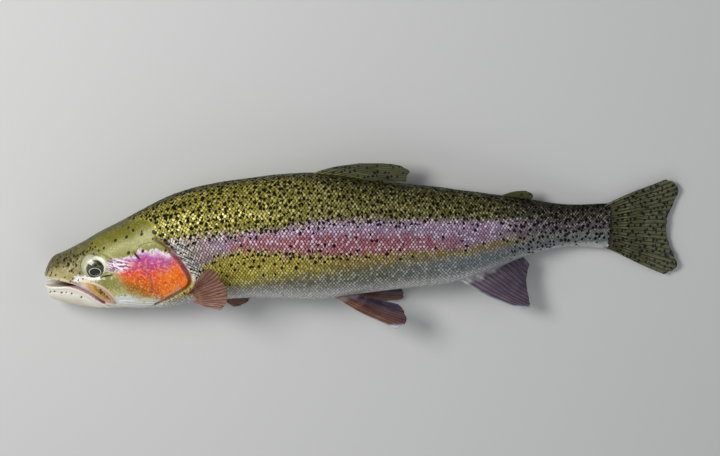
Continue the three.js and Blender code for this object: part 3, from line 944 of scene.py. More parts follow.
# %% A material and its nodes
class Shader:
    """One material and the nodes in it."""

    def __init__(self, name):
        self.material = bpy.data.materials.new(name)
        self.material.use_nodes = True
        self.tree = self.material.node_tree
        self.tree.nodes.clear()

    def node(self, kind, settings=None, sockets=None, output=0):
        made = self.tree.nodes.new(kind)
        for key, value in (settings or {}).items():
            setattr(made, key, value)
        for key, value in (sockets or {}).items():
            if isinstance(value, Wire):
                self.tree.links.new(value.socket, made.inputs[key])
            else:
                made.inputs[key].default_value = value
        if isinstance(output, tuple):
            return [Wire(self, made.outputs[name]) for name in output]
        return Wire(self, made.outputs[output]) if made.outputs else None

    def value(self, name):
        return self.node("ShaderNodeAttribute", {"attribute_name": name}, output="Fac")

    def vector(self, name):
        return self.node("ShaderNodeAttribute", {"attribute_name": name}, output="Vector")

    def blend(self, share, a, b, how="MIX"):
        settings = {"data_type": "RGBA", "blend_type": how}
        return self.node("ShaderNodeMix", settings, {0: share, 6: a, 7: b}, output=2)

    def layers(self, ground, *layers):
        """Colours laid one over the other, each where its mask is 1."""
        for mask, tint in layers:
            ground = self.blend(mask, ground, tint)
        return ground

    def ramp(self, value, stops):
        """A colour that runs through stops, each a place from 0 to 1 and its colour."""
        made = self.node("ShaderNodeValToRGB", None, {"Fac": value}, "Color")
        elements = made.socket.node.color_ramp.elements
        for k, (place, tint) in enumerate(stops):
            element = elements[k] if k < 2 else elements.new(place)
            element.position, element.color = place, tint
        return made

    def vector_maths(self, operation, a, b=(0, 0, 0), output=0):
        return self.node("ShaderNodeVectorMath", {"operation": operation}, {0: a, 1: b}, output)

    def joined(self, x, y):
        """Two numbers as one flat vector."""
        return self.node("ShaderNodeCombineXYZ", None, {0: x, 1: y})

    def split(self, vector, names=("X", "Y")):
        return self.node("ShaderNodeSeparateXYZ", None, {0: vector}, names)

    def length(self, vector):
        return self.vector_maths("LENGTH", vector, output="Value")

    def noise(self, vector, scale, detail=3.0, output="Fac"):
        sockets = {"Vector": vector, "Scale": scale, "Detail": detail}
        return self.node("ShaderNodeTexNoise", None, sockets, output)

    def bump(self, height, distance, strength=1.0):
        sockets = {"Height": height, "Distance": distance, "Strength": strength}
        return self.node("ShaderNodeBump", None, sockets, "Normal")

    def finish(self, pieces, **sockets):
        """Adds the surface and gives the material to some pieces."""
        named = {key.replace("_", " "): value for key, value in sockets.items()}
        surface = self.node("ShaderNodeBsdfPrincipled", None, named)
        self.node("ShaderNodeOutputMaterial", None, {"Surface": surface})
        for piece in pieces:
            piece.data.materials.append(self.material)


# %% [markdown]
# Colours are easiest to choose as a screen shows them, but light is mixed in other amounts.


# %% Colours
def colour(red, green, blue):
    """A colour told as on a screen, from 0 to 255, turned into amounts of light."""
    screen = np.array([red, green, blue]) / 255
    light = np.where(screen <= 0.04045, screen / 12.92, ((screen + 0.055) / 1.055) ** 2.4)
    return (*light.tolist(), 1.0)


def mixed(share, a, b):
    """A colour some share of the way from one to another."""
    return tuple((1 - share) * p + share * q for p, q in zip(a, b))


print("olive is", np.round(colour(112, 116, 48), 3))

# %% [markdown]
# ## Markings of a rainbow trout
#
# The ground colours come first: olive above, a band of lilac and rose, then brass that fades
# into silver.


# %% Ground colours of the trunk
OLIVE, MOSS, DARK_BACK = colour(152, 142, 22), colour(118, 112, 48), colour(30, 29, 10)
LILAC, ROSE, BRASS = colour(184, 150, 184), colour(194, 94, 98), colour(190, 174, 58)
STEEL, SLATE, PEARL = colour(128, 136, 140), colour(108, 108, 88), colour(236, 236, 232)
WARM_GLINT, PINK_GLINT, NET = colour(232, 224, 166), colour(250, 234, 250), colour(74, 66, 46)
OCHRE = colour(160, 136, 54)
TAIL_DARK_AND_SHADE, INK = colour(34, 33, 20), colour(2, 2, 2)
print("the trunk's colours run from", np.round(DARK_BACK, 3), "to", np.round(PEARL, 3))


def trunk_colour(shader, place, mottle):
    """The colour of the trunk, without spots."""
    get = shader.value
    along, _ = shader.split(place)
    back = shader.layers(
        OLIVE,
        ((along + 0.06 * mottle).ease(0.20, 0.36), MOSS),
        # Darker towards the tail: partly the back's own darker olive, partly painted shade.
        (along.ease(0.32, 0.46) * 0.45, DARK_BACK),
        (get("ridge") * 0.75, DARK_BACK),
        # Darker still on the tail: partly its own colour, partly painted shade.
        (get("tail") * 0.85, TAIL_DARK_AND_SHADE),
    )
    low = shader.layers(
        BRASS,
        (along.ease(0.22, 0.31), OCHRE),
        (get("belly"), shader.blend(along.ease(0.30, 0.43), SLATE, STEEL)),
        (get("keel") * 0.8, PEARL),
    )
    # Behind the gill slit, streaks run from dark olive to pearl; the pearl streaks are painted
    # highlight.
    one_side = shader.vector_maths("ABSOLUTE", place)
    down = shader.vector_maths("DOT_PRODUCT", one_side, (60, 60, 0), "Value")
    over = shader.vector_maths("DOT_PRODUCT", one_side, (420, -420, 0), "Value")
    streaks = shader.noise(shader.joined(down, over), 1.0)
    streaked = shader.blend((streaks + 0.3 * mottle).ease(0.60, 0.70), DARK_BACK, PEARL)
    band = shader.blend((get("rose") + mottle * 1.4 - 0.70).ease(0.0, 1.0), LILAC, ROSE)
    return shader.layers(
        shader.blend(get("below"), back, low),
        (get("band"), band),
        (get("shoulder") * 0.9, streaked),
    )


# %% [markdown]
# Black spots lie on top, one in each cell of a Voronoi pattern. Each cell's own random numbers
# say how big its spot is and whether it has one at all. Skin and scales read the same places on
# the fish, so a spot runs over both without a step.


# %% Black spots
CELL_ALONG, CELL_ACROSS, SHAKE = 0.0045, 0.0057, 0.0024


def spots(shader, place, pepper, size=1.0):
    """1 on a black spot and 0 off it."""
    shake = shader.noise(place, 330.0, 0.0, "Color")
    shake = shader.vector_maths("SUBTRACT", shake, (0.5, 0.5, 0.5))
    shake = shader.vector_maths("MULTIPLY", shake, (SHAKE, SHAKE, 0))
    cells = shader.vector_maths(
        "MULTIPLY", shader.vector_maths("ADD", place, shake),
        (1 / CELL_ALONG / size, 1 / CELL_ACROSS / size, 0),
    )
    distance, own = shader.node(
        "ShaderNodeTexVoronoi", {"voronoi_dimensions": "2D"},
        {"Vector": cells, "Scale": 1.0, "Randomness": 0.82}, ("Distance", "Color"),
    )
    own_size, chance = shader.node("ShaderNodeSeparateColor", None, {0: own}, ("Red", "Green"))
    return (0.22 + 0.14 * own_size - distance).ease(-0.03, 0.03) * (chance < pepper)


print("a spot's cell is", round(CELL_ALONG / MM, 1), "by", round(CELL_ACROSS / MM, 1), "mm")

# %% [markdown]
# ## Finish of the scales
#
# Scales are clear plates over a mirror of guanine crystals, with pigment in between. A partly
# metallic surface under a thin wet coat gives that pearly glitter. Every scale's own random tone
# shifts its brightness a little, its free edge is darker, and a painted glint, a highlight in its
# colour, brightens the middle of many scales.


# %% Material of the scales
def dress_scales():
    shader = Shader("wet_scales")
    get = shader.value
    place = shader.vector("place")
    ground = trunk_colour(shader, place, shader.noise(place, 60.0))
    tone, rim, band, belly = (get(name) for name in ("tone", "rim", "band", "belly"))
    glint_strength = 0.34 + 0.40 * band - 0.14 * belly - 0.2 * get("ridge")
    patchy = shader.noise(place, 230.0, 2.0)
    lively = 0.25 + 0.5 * tone.ease(0.2, 1.0) + (tone + 1.6 * patchy - 0.8).ease(0.45, 1.0) * 0.7
    # A painted glint: a highlight painted into the colour, in the middle of many scales.
    glint = lively * (1 - rim.ease(0.08, 0.55)) * glint_strength
    glint_tint = shader.blend(belly, shader.blend(band, WARM_GLINT, PINK_GLINT), PEARL)
    shade = ((1 - tone).ease(0.2, 1.0) * 0.45).most(rim.ease(0.25, 0.85)) * (1 - 0.35 * belly)
    netted = shader.blend(1.0, ground, NET, "MULTIPLY")
    pore = 0.2 * get("pore")
    ground = shader.layers(ground, (shade, netted), (glint, glint_tint), (pore, DARK_BACK))
    black = spots(shader, place, get("pepper"))
    shine = (0.22 + 0.33 * band + 0.28 * belly) * (1 - black)
    fine = shader.noise(place, 2600.0, 2.0)
    shader.finish(
        scales,
        Base_Color=shader.blend(0.97 * black, ground, INK),
        Metallic=shine,
        Roughness=0.55 - 0.24 * tone + 0.2 * black,
        Normal=shader.bump(fine, 0.00005, 0.5),
        Specular_IOR_Level=0.1,
        Coat_Weight=0.08 * (1 - black),
        Coat_Roughness=0.12,
    )
    print(shader.material.name, "has", len(shader.tree.nodes), "nodes")


dress_scales()

# %% [markdown]
# ## Finish of the head and the skin
#
# The head has no scales. Its skin is smooth and wet: olive on the crown, flushed rose and orange
# over the cheek and gill cover, and white on the jaws and throat. A blade of brass edged with
# pink marks the upper jaw, and the eye sits in a pale rim.
#
# Markings this particular could be painted by hand on a picture. Written as formulas of places on
# the flank, they need no picture and stay as sharp as the camera asks.

# %% Colours of the head
DARK_CROWN, CROWN, TEMPLE = colour(58, 54, 8), colour(112, 108, 6), colour(138, 136, 66)
SNOUT, MUZZLE, UNDER_CHEEK = colour(92, 82, 42), colour(162, 150, 96), colour(196, 190, 130)
THROAT, PALE_BLUE, MILK = colour(214, 214, 206), colour(226, 234, 236), colour(248, 244, 240)
JAW, FOLD_SHADE = mixed(0.3, colour(246, 242, 238), colour(214, 200, 140)), colour(168, 146, 136)
CREAM, LIP, LIP_PALE = colour(216, 200, 160), colour(176, 116, 134), colour(226, 204, 202)
BLADE, BLADE_DARK = colour(190, 156, 70), colour(92, 66, 22)
MOUTH_SHADE, GROOVE_SHADE, SLIT_SHADE = colour(44, 24, 16), colour(170, 84, 84), colour(96, 40, 18)
ORBIT_PALE, ORBIT_SHADED, ORBIT_SHADOW = colour(222, 220, 200), colour(140, 136, 98), colour(92, 88, 52)

# From the top of the flush on the cheek and gill cover, 0, to its foot, 1. Its first, near white
# stops are a painted highlight along the top.
FLUSH_AND_SHEEN = [
    (0.00, colour(254, 250, 250)), (0.07, colour(242, 220, 234)), (0.12, colour(196, 120, 190)),
    (0.22, colour(196, 66, 140)), (0.34, colour(216, 64, 92)), (0.50, colour(232, 86, 40)),
    (0.66, colour(218, 92, 6)), (0.84, colour(178, 90, 8)), (1.00, colour(190, 152, 70)),
]
CORAL, ORANGE, COVER_RIM = colour(226, 108, 84), colour(244, 112, 0), colour(150, 58, 20)
VIOLET, BRICK = colour(138, 74, 142), colour(190, 62, 28)
MURK, RUDDY = colour(128, 96, 28), colour(222, 84, 70)
YELLOW_SPECKS, PINK_SPECKS = colour(244, 176, 60), colour(236, 190, 196)
print("the flush runs through", len(FLUSH_AND_SHEEN), "colours")

# %% [markdown]
# The black spots of the head are large and few, so each is placed by itself. A place is told as
# it shows from where the camera will be, which leans from straight above the flank towards the
# back. The nearest point of the skin that faces it says where on the fish the spot lies.

# %% Black spots of the head
CAMERA_LEAN = math.radians(14)
# Millimetres behind the snout, millimetres over the middle of the flank, radius.
HEAD_SPOTS = [
    (45, -2.5, 0.8), (41, -6, 1.1), (36, -8, 0.9), (31.5, -11.5, 1), (26.5, -15.5, 1),
    (22.5, -18, 0.9), (30, -19.5, 1.1), (34, -18.5, 1), (33.5, -22, 1.1), (39.5, -17.5, 1.1),
    (43, -15, 1.1), (40, -14.5, 0.8), (46, -13.5, 0.7), (48.5, -12.5, 0.9), (51.5, -10.5, 1),
    (48, -7, 1.2), (54.5, -14.5, 1.1), (60, -11.5, 1.2), (50, -17, 0.7), (27, -24.5, 1),
    (22.5, -21.5, 1), (24.5, -28.5, 1.4), (20.5, -24, 1.1), (16, -20.5, 1.1), (14.5, -26, 1),
    (8.5, -24, 1), (4, -34, 1), (6.5, -38, 0.9), (11.5, -38, 0.9), (28, -33.5, 1.3),
    (32.5, -28.5, 1.3), (29, -41.5, 0.8), (34, -43, 0.7), (66.5, -22, 0.7), (71, -4, 1.5),
    (78, 10, 0.9), (84, 8.5, 1.2), (88.5, 5.5, 1.4), (97.5, 4.5, 0.9), (97, 1.5, 1.6),
    (82, -1, 1.6), (84, -16, 1.6), (98, -14.5, 1.5), (109, 4, 1.8), (108, -3, 0.9),
    (120.5, -13.5, 1.2), (6, -54.5, 0.9), (10.5, -54, 0.8), (17, -55, 0.9), (22, -55, 0.6),
    (27.5, -56, 0.8), (36.5, -59.5, 0.9),
]
FLANK, FACING = SKIN[:, : len(SHARES)], SKIN_OUT[:, : len(SHARES), 2] >= 0.1
LIFTED = (FLANK[..., 2] - SPINE_HEIGHT) * math.sin(CAMERA_LEAN)
FLANK_HEIGHT = FLANK[..., 1] * math.cos(CAMERA_LEAN) - LIFTED


def seen_place(x, height):
    """The ring and the share that show at a place on the left flank."""
    away = np.hypot(FLANK[..., 0] + ORIGIN_AT - x, FLANK_HEIGHT - height)
    ring, column = np.unravel_index(np.where(FACING, away, np.inf).argmin(), away.shape)
    return RING_AT[ring], SHARES[column]


def dotted(shader, place, dots):
    """1 within any of some round dots, the same on both sides of the fish."""
    one_side = shader.vector_maths("ABSOLUTE", place)
    found = None
    for x, height, radius in dots:
        at, share = seen_place(x, height)
        middle = (float(at) * MM, float(share * half_girth(at)) * MM, 0)
        away = shader.vector_maths("DISTANCE", one_side, middle, "Value")
        dot = (radius * MM - away).ease(-0.0004, 0.0002)
        found = dot if found is None else found.most(dot)
    return found


print("the spot behind the eye lies on the ring and share of", np.round(seen_place(71, -4), 2))

# %% [markdown]
# The crown is olive and darkens to the middle of the back. Tan skin covers the snout, and the
# borders between them wander, because noise is added to every place before it is compared.


# %% Crown, snout and throat
def oval(shader, x, y, middle, size, turn=0.0, soft=0.3):
    """1 inside a turned oval and 0 outside it, in millimetres on the plane of the flanks."""
    cos, sin = math.cos(math.radians(turn)), math.sin(math.radians(turn))
    x, y = x - middle[0], y - middle[1]
    along, across = (x * cos + y * sin) * (1 / size[0]), (y * cos - x * sin) * (1 / size[1])
    return shader.length(shader.joined(along, across)).ease(1 + soft, 1 - soft)


# Ovals of colour: middle, half length and half height, slope in degrees, softness.
PALE_PATCH = (77, -59.5), (12, 4.5), 8, 0.5


def crown_colour(shader, x, y, share, broad, fine):
    """Olive over the skull, tan on the snout and cream on the muzzle."""
    muzzle = (share + 0.2 * broad + 0.15 * fine).ease(0.24, 0.42) * (1 - x.ease(26.0, 42.0))
    cheek = (share + 0.12 * broad).ease(0.40, 0.50) * x.ease(34.0, 46.0)
    dappled = shader.blend((broad + fine).ease(-0.15, 0.2), UNDER_CHEEK, TEMPLE)
    pale = oval(shader, x + 16 * broad, y + 14 * fine, *PALE_PATCH)
    return shader.layers(
        DARK_CROWN,
        ((share + 0.14 * broad + 0.06 * fine).ease(0.0, 0.15), CROWN),
        ((share + 0.30 * broad + 0.1 * fine).ease(0.13, 0.33), TEMPLE),
        ((1 - (x + 30 * broad).ease(26.0, 50.0)) * 0.9, SNOUT),
        (muzzle, MUZZLE),
        (cheek, dappled),
        ((share + 0.10 * broad + 0.05 * fine).ease(0.70, 0.80), THROAT),
        (pale * 0.85, PALE_BLUE),
    )


# %% [markdown]
# Over the cheek and the gill cover the flush runs from a painted highlight, near white, at its
# top through pink and red to orange. Its depth, from its top to its foot, was stored on the skin
# and picks the colour from a ramp.


# %% Cheek and gill cover
MURKY_PATCH, RUDDY_PATCH = ((86, -49), (11, 7), 0, 0.5), ((86, -23), (7, 5.5), 0, 0.4)
MILK_AND_SHEEN_PATCH = (73.5, -23.5), (12.5, 6.2), 10, 0.5


def flush_colour(shader, ground, x, y, broad, other, fine, grain):
    """Rose and orange over the cheek and gill cover, speckled with yellow and pink."""
    depth = shader.value("flush") + 0.34 * other + 0.24 * fine + 0.30 * x.ease(120.0, 133.0)
    here = (x + 16 * other + 14 * fine).ease(65.0, 80.0)
    here = here * depth.ease(-0.04, 0.05) * (1 - (depth + 0.3 * fine).ease(0.88, 1.08))
    here = here * (1 - 0.75 * (depth.ease(0.55, 0.8) * (1 - (x + 20 * other).ease(72.0, 88.0))))
    hot = (x + 18 * other + 14 * fine).ease(108.0, 124.0) * (depth + 0.2 * grain).ease(0.12, 0.36)
    low = depth.ease(0.4, 0.6)
    warm = shader.layers(
        # The ramp starts near white: a painted highlight along the top of the flush.
        shader.ramp(depth + 0.36 * grain - 0.3 * broad, FLUSH_AND_SHEEN),
        (hot, shader.blend(depth.ease(0.3, 0.5), CORAL, ORANGE)),
        (oval(shader, x + 20 * other, y + 16 * fine, *MURKY_PATCH) * 0.75, MURK),
        (oval(shader, x + 20 * fine, y + 16 * other, *RUDDY_PATCH) * 0.8, RUDDY),
        ((0 - other - 0.8 * fine).ease(0.05, 0.2) * depth.ease(0.3, 0.5) * 0.55, BRICK),
        ((grain + 0.5 * fine).ease(0.04, 0.16) * low * 0.7, YELLOW_SPECKS),
        ((fine - 0.8 * grain).ease(0.04, 0.16) * (1 - low) * 0.45, PINK_SPECKS),
        ((fine + grain).ease(-0.02, -0.12) * (1 - depth.ease(0.3, 0.45)) * 0.7, VIOLET),
    )
    strokes = shader.noise(shader.joined(0.12 * x - 0.08 * y, 0.5 * y + 0.14 * x), 1.0)
    # Behind the eye, lavender and white streaks: partly the skin's own colour, partly painted highlight.
    milk_and_sheen = oval(shader, x + 16 * fine, y + 12 * fine, *MILK_AND_SHEEN_PATCH)
    milk_and_sheen = milk_and_sheen * (strokes + 0.6 * grain).ease(0.30, 0.38) * 0.95
    streaked = shader.blend((strokes + 0.4 * fine).ease(0.46, 0.53), VIOLET, MILK)
    return shader.layers(ground, (here, warm), (milk_and_sheen, streaked))


# %% [markdown]
# The lips are cream in front and pink behind. A milky line of skin runs under the eye, and the
# blade of the upper jaw is a brassy leaf edged with cream and pink.


# %% Lips and jaws
LEAF, LEAF_SHADE = ((54.5, -52), (13.5, 3.6), -40, 0.2), ((57.5, -52.3), (10, 2.4), -41, 0.5)


def mouth_colour(shader, ground, x, y, other, fine, grain):
    """Cream and pink lips, a white jaw and the brassy blade of the upper jaw."""
    get = shader.value
    below, blade = get("below_lip"), get("blade")
    jaw = shader.layers(
        JAW,
        ((below + 12 * other + 3 * fine).ease(8.0, 17.0) * 0.45, UNDER_CHEEK),
        ((1 - (below + 2 * fine).ease(0.2, 1.4)) * x.ease(16.0, 26.0) * 0.8, LIP),
    )
    stripe = (get("stripe") + 8 * fine + 6 * other + 3.4 * x.ease(52.0, 68.0)).ease(3.4, 1.2)
    stripe = stripe * (x + 8 * fine).ease(27.0, 33.0) * (0.75 + 3 * grain + 2 * fine).ease(0.0, 0.5)
    lip = shader.blend((x + 6 * fine).ease(20.0, 32.0), CREAM, LIP_PALE)
    edge = shader.blend((x + y + 14 * fine).ease(-9.0, -2.0), LIP_PALE, CREAM)
    brass = shader.layers(
        BLADE,
        (oval(shader, x + 6 * fine, y + 5 * grain, *LEAF_SHADE), BLADE_DARK),
        ((fine + grain).ease(0.02, 0.16) * 0.6, YELLOW_SPECKS),
    )
    leaf = oval(shader, x + 5 * fine, y + 5 * fine, *LEAF)
    return shader.layers(
        ground,
        (get("lower_jaw"), jaw),
        (stripe, MILK),
        (get("upper_lip") * 0.85, lip),
        ((blade + fine).ease(-2.2, -0.6) * x.ease(30.0, 40.0) * 0.9, edge),
        (blade.ease(0.0, 0.6) * x.ease(40.0, 46.0) * 0.64, LIP),
        (leaf * blade.ease(0.2, 0.9), brass),
    )


# %% [markdown]
# Everything on the head comes together here, each marking laid over the last. One black dash lies
# under the rear of the eye, another at the top of the cheek, and painted shade darkens the inside of the
# mouth.

# %% The whole head
# Noise from broad to grainy: how fine it is, and its detail.
HEAD_NOISE = [(60.0, 3.0), (110.0, 4.0), (420.0, 4.0), (1300.0, 2.0)]
# Ovals, without their softness, and their strength.
DASHES = [((62.6, -34.6), (6.4, 0.85), 15, 0.95), ((92.7, -13.9), (4.0, 0.95), -48, 0.97)]


def head_colour(shader, body):
    """The colour of the head, its borders broken up by noise."""
    get = shader.value
    x, y, share = shader.split(shader.vector("drawn"), ("X", "Y", "Z"))
    broad, other, fine, grain = (shader.noise(body, *sort) - 0.5 for sort in HEAD_NOISE)
    ground = crown_colour(shader, x, y, share, broad, fine)
    ground = flush_colour(shader, ground, x, y, broad, other, fine, grain)
    plate, orbit, groove = get("plate"), get("orbit"), get("groove")
    rim = (1 - plate.ease(0.6, 2.6)) * plate.ease(-0.8, 0.0) * x.ease(116.0, 124.0)
    ground = shader.blend(rim * 0.8, ground, COVER_RIM)
    ground = mouth_colour(shader, ground, x, y, other, fine, grain)
    # The pale rim round the eye is painted grey towards its front and bottom, as shade, and a painted
    # shadow darkens the front of its outer edge.
    socket = shader.blend((x + 0.5 * y + 20 * fine).ease(18.0, 38.0), ORBIT_SHADED, ORBIT_PALE)
    ground = shader.layers(
        ground,
        (orbit.ease(0.0, 0.9) * (1 - x.ease(52.0, 62.0)) * 0.8, ORBIT_SHADOW),
        ((orbit + 2.5 * fine + 0.6 * grain).ease(0.4, 3.0), socket),
    )
    # The nostril pits are painted black: painted shade in the holes.
    for px, py, radius in NOSTRILS:
        pit = oval(shader, x, y, (px, py), (radius * 0.9, radius * 0.7), 0, 0.4)
        ground = shader.blend(pit * 0.9, ground, INK)
    line = groove.ease(0.25, 0.0) * groove.ease(0.01, 0.1) * x.ease(96.0, 100.0)
    line = line * 0.7 * (fine + 0.5).ease(0.4, 0.6)
    # Painted shade, dark rose, deepens the groove of the cheek; a pink line runs beside it.
    ground = shader.layers(ground, (groove * 0.85, GROOVE_SHADE), (line, PINK_SPECKS))
    for middle, size, slope, strength in DASHES:
        dash = oval(shader, x, y + 2 * fine, middle, size, slope)
        ground = shader.blend(dash * strength, ground, INK)
    return shader.layers(
        ground,
        # Painted shade darkens the slit behind the gill cover.
        (get("slit") * 0.85, SLIT_SHADE),
        # Painted shade, pinkish grey, darkens the folds of the throat.
        (get("fold").ease(0.1, 0.9) * 0.6, FOLD_SHADE),
        ((grain * 2.2 + fine * 1.6).ease(0.15, 0.7) * 0.28, MILK),
        ((0 - grain * 2.2 - fine * 1.6).ease(0.15, 0.7) * 0.30, DARK_CROWN),
        # Painted shade darkens the inside of the mouth towards the front; further back it is lip pink.
        (get("mouth").ease(0.15, 0.7), shader.blend((x + 8 * fine).ease(26.0, 36.0), MOUTH_SHADE, LIP)),
    )


# %% [markdown]
# The skin's own material puts the head and the trunk together and dots both with black. On the
# trunk it shows only between the scales. Fine pores break up its wet shine.


# %% Material of the skin
def dress_skin():
    shader = Shader("wet_skin")
    get = shader.value
    place = shader.vector("place")
    body = shader.node("ShaderNodeTexCoord", None, None, "Object")
    mottle = shader.noise(body, 90.0, 4.0)
    trunk = get("trunk")
    ground = shader.blend(trunk, head_colour(shader, body), trunk_colour(shader, place, mottle))
    free = (1 - get("orbit").ease(0.0, 0.5)) * (1 - get("mouth").ease(0.1, 0.3))
    small = spots(shader, place, get("pepper") * (1 - trunk), 0.62) * free
    black = small.most(spots(shader, place, get("pepper") * trunk))
    black = black.most(dotted(shader, place, HEAD_SPOTS))
    pores = shader.noise(body, 900.0)
    shader.finish(
        [skin],
        Base_Color=shader.blend(0.95 * black, ground, INK),
        Metallic=0.12 * (1 - black),
        Roughness=0.34 + 0.18 * pores,
        Normal=shader.bump(pores + 0.8 * mottle, 0.0005, 0.4),
        Specular_IOR_Level=0.25,
        Coat_Weight=0.15 * (1 - black),
        Coat_Roughness=0.18,
    )
    print(shader.material.name, "has", len(shader.tree.nodes), "nodes")


dress_skin()

# %% [markdown]
# ## Eyes
#
# A trout's eye is a flattened ball under a clear dome. The dome itself is easy to turn on a
# lathe. The iris should look sunk below it: here one surface does both, as a bump dishes the
# colour underneath while the clear coat keeps the smooth shape of the dome.

# %% Turn the eyes
EYE_SEGMENTS, EYE_FLOOR = 96, 0.6
# Angles from the top of the dome: fine steps over it, coarser ones round the back.
EYE_EDGE = np.concatenate([np.linspace(0.02, 1.4, 44), np.linspace(1.47, math.pi - 0.05, 16)])


def make_eye(name, side):
    centre, axes = EYES[side]
    turn = np.arange(EYE_SEGMENTS) / EYE_SEGMENTS * 2 * math.pi
    radius = EYE_RADIUS * np.sin(EYE_EDGE[:, None]) * np.ones_like(turn)
    height = EYE_HALF_THICKNESS * np.cos(EYE_EDGE[:, None]) * np.ones_like(turn)
    local = np.stack([radius * np.cos(turn), radius * np.sin(turn), height], -1)
    poles = np.array([[0, 0, EYE_HALF_THICKNESS], [0, 0, -EYE_HALF_THICKNESS]])
    flat = np.vstack([local.reshape(-1, 3), poles])
    points = centre + flat @ axes.T
    points[:, 2] = np.maximum(points[:, 2], EYE_FLOOR)
    around = tube_faces(len(EYE_EDGE), EYE_SEGMENTS)[:, ::-1]
    top = fan_faces(len(flat) - 2, 0, EYE_SEGMENTS)
    last = (len(EYE_EDGE) - 1) * EYE_SEGMENTS
    bottom = fan_faces(len(flat) - 1, last, EYE_SEGMENTS)[:, [0, 2, 1]]
    faces = [around, top, bottom]
    if side < 0:
        faces = [f[:, ::-1] for f in faces]
    return make_piece(name, points, faces, {"disc": flat * MM})


eyes = [make_eye("trout_eye_left", 1), make_eye("trout_eye_right", -1)]
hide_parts("eye_left")
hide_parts("eye_right")
for eye in eyes:
    print(eye.name, "has", len(eye.data.polygons), "faces")

# %% [markdown]
# The pupil is a black drop that points to the snout, with a fine bright line round it, brighter
# at the top as a painted highlight. The iris is almost black next to it and olive further out,
# with dark patches, and it ends in a pale rim. The whole pattern is turned down in the socket, as
# a fish's eye stays when it is laid flat.

# %% Material of the eyes
IRIS, IRIS_DARK, BRIGHT_LINE = colour(108, 106, 56), colour(12, 12, 8), colour(236, 232, 196)
IRIS_RIM, PUPIL_BLACK = colour(190, 188, 156), (0.002, 0.002, 0.002, 1.0)
# The pupil lies low in the eye, looking down past the lower lid.
PUPIL, PUPIL_RADIUS, PUPIL_HEIGHT, DARK_RADIUS = (2.8, -5.3), 5.0, 0.74, 6.5
IRIS_MIDDLE, IRIS_RADIUS = (2.7, -2.5), 8.8
# Dark patches in the iris, from the pupil: tailwards, backwards and radius.
PATCHES = [(-4.0, 8.3, 2.3), (4.6, 9.0, 2.7), (-8.4, 1.6, 2.2), (9.6, 5.6, 2.0), (0.4, 6.9, 1.5)]


def dress_eyes():
    shader = Shader("trout_eye")
    disc = shader.vector("disc")
    x, y = shader.split(disc)
    x, y = x * (1 / MM) - PUPIL[0], y * (1 / MM) - PUPIL[1]
    # The pupil is flatter than a disc, and drawn out a little towards the snout.
    to_pupil = shader.length(shader.joined(x.most(x * 0.9), y * (1 / PUPIL_HEIGHT)))
    from_middle = (x + (PUPIL[0] - IRIS_MIDDLE[0]), y + (PUPIL[1] - IRIS_MIDDLE[1]))
    radius = shader.length(shader.joined(*from_middle))
    rays = shader.noise(shader.vector_maths("NORMALIZE", shader.joined(x, y)), 7.0, 4.0)
    flecks = shader.noise(disc, 600.0)
    uneven = rays * 1.6 + flecks * 1.6 - 1.6
    dull = (rays * 0.6 + flecks * 0.6).ease(0.50, 0.72)
    outer = (radius + uneven).ease(IRIS_RADIUS - 3.2, IRIS_RADIUS - 0.6)
    ground = shader.layers(mixed(0.7, IRIS, IRIS_DARK), (dull, IRIS), (outer * 0.6, IRIS_DARK))
    for across, up, size in PATCHES:
        away = shader.length(shader.joined(x - across, y - up))
        patch = (away + uneven * 0.7).ease(size + 0.3, size - 0.4)
        ground = shader.blend(patch * 0.92, ground, IRIS_DARK)
    rim = (radius + uneven * 0.8).ease(IRIS_RADIUS - 0.7, IRIS_RADIUS + 0.7)
    ring = (to_pupil + uneven * 0.3).ease(DARK_RADIUS + 0.8, DARK_RADIUS - 0.1)
    line = (to_pupil - PUPIL_RADIUS).ease(-0.1, 0.1) * (PUPIL_RADIUS + 0.75 - to_pupil).ease(-0.1, 0.25)
    # The bright line is brighter at its top: a painted highlight.
    line = line * (0.55 + 0.45 * y.ease(-3.0, 2.5))
    pupil = (PUPIL_RADIUS - to_pupil).ease(-0.1, 0.15)
    ground = shader.layers(
        ground, (rim, IRIS_RIM), (ring * 0.95, IRIS_DARK), (line, BRIGHT_LINE), (pupil, PUPIL_BLACK),
    )
    dish = (to_pupil - PUPIL_RADIUS).ease(0.0, 5.6)
    shader.finish(
        eyes,
        Base_Color=ground,
        Metallic=0.25 * (1 - pupil),
        Roughness=0.42 + 0.2 * pupil,
        Normal=shader.bump(dish + 0.15 * flecks, 0.0012, 0.8),
        Coat_Weight=1.0,
        Coat_Roughness=0.01,
    )
    print(shader.material.name, "has", len(shader.tree.nodes), "nodes")


dress_eyes()

# %% [markdown]
# ## Fins
#
# A fin is a fan of jointed rays with thin skin between them. Each ray forks towards the edge.
# It could be cut from a plane, but a closed sheet has two real faces and a real thickness. So
# each fin is a grid from front to rear and from root to edge, whose rays stand proud.

# %% The fans of the fins
TAILWARD, BACKWARD, BELLYWARD = np.eye(3)[0], np.eye(3)[1], -np.eye(3)[1]
TAIL_ROOT, HALF_ROOT = axis_point(np.array(STANDARD_LENGTH - 3.0)), 21.5


def on_body(at, degrees):
    return body_point(at, math.radians(degrees))


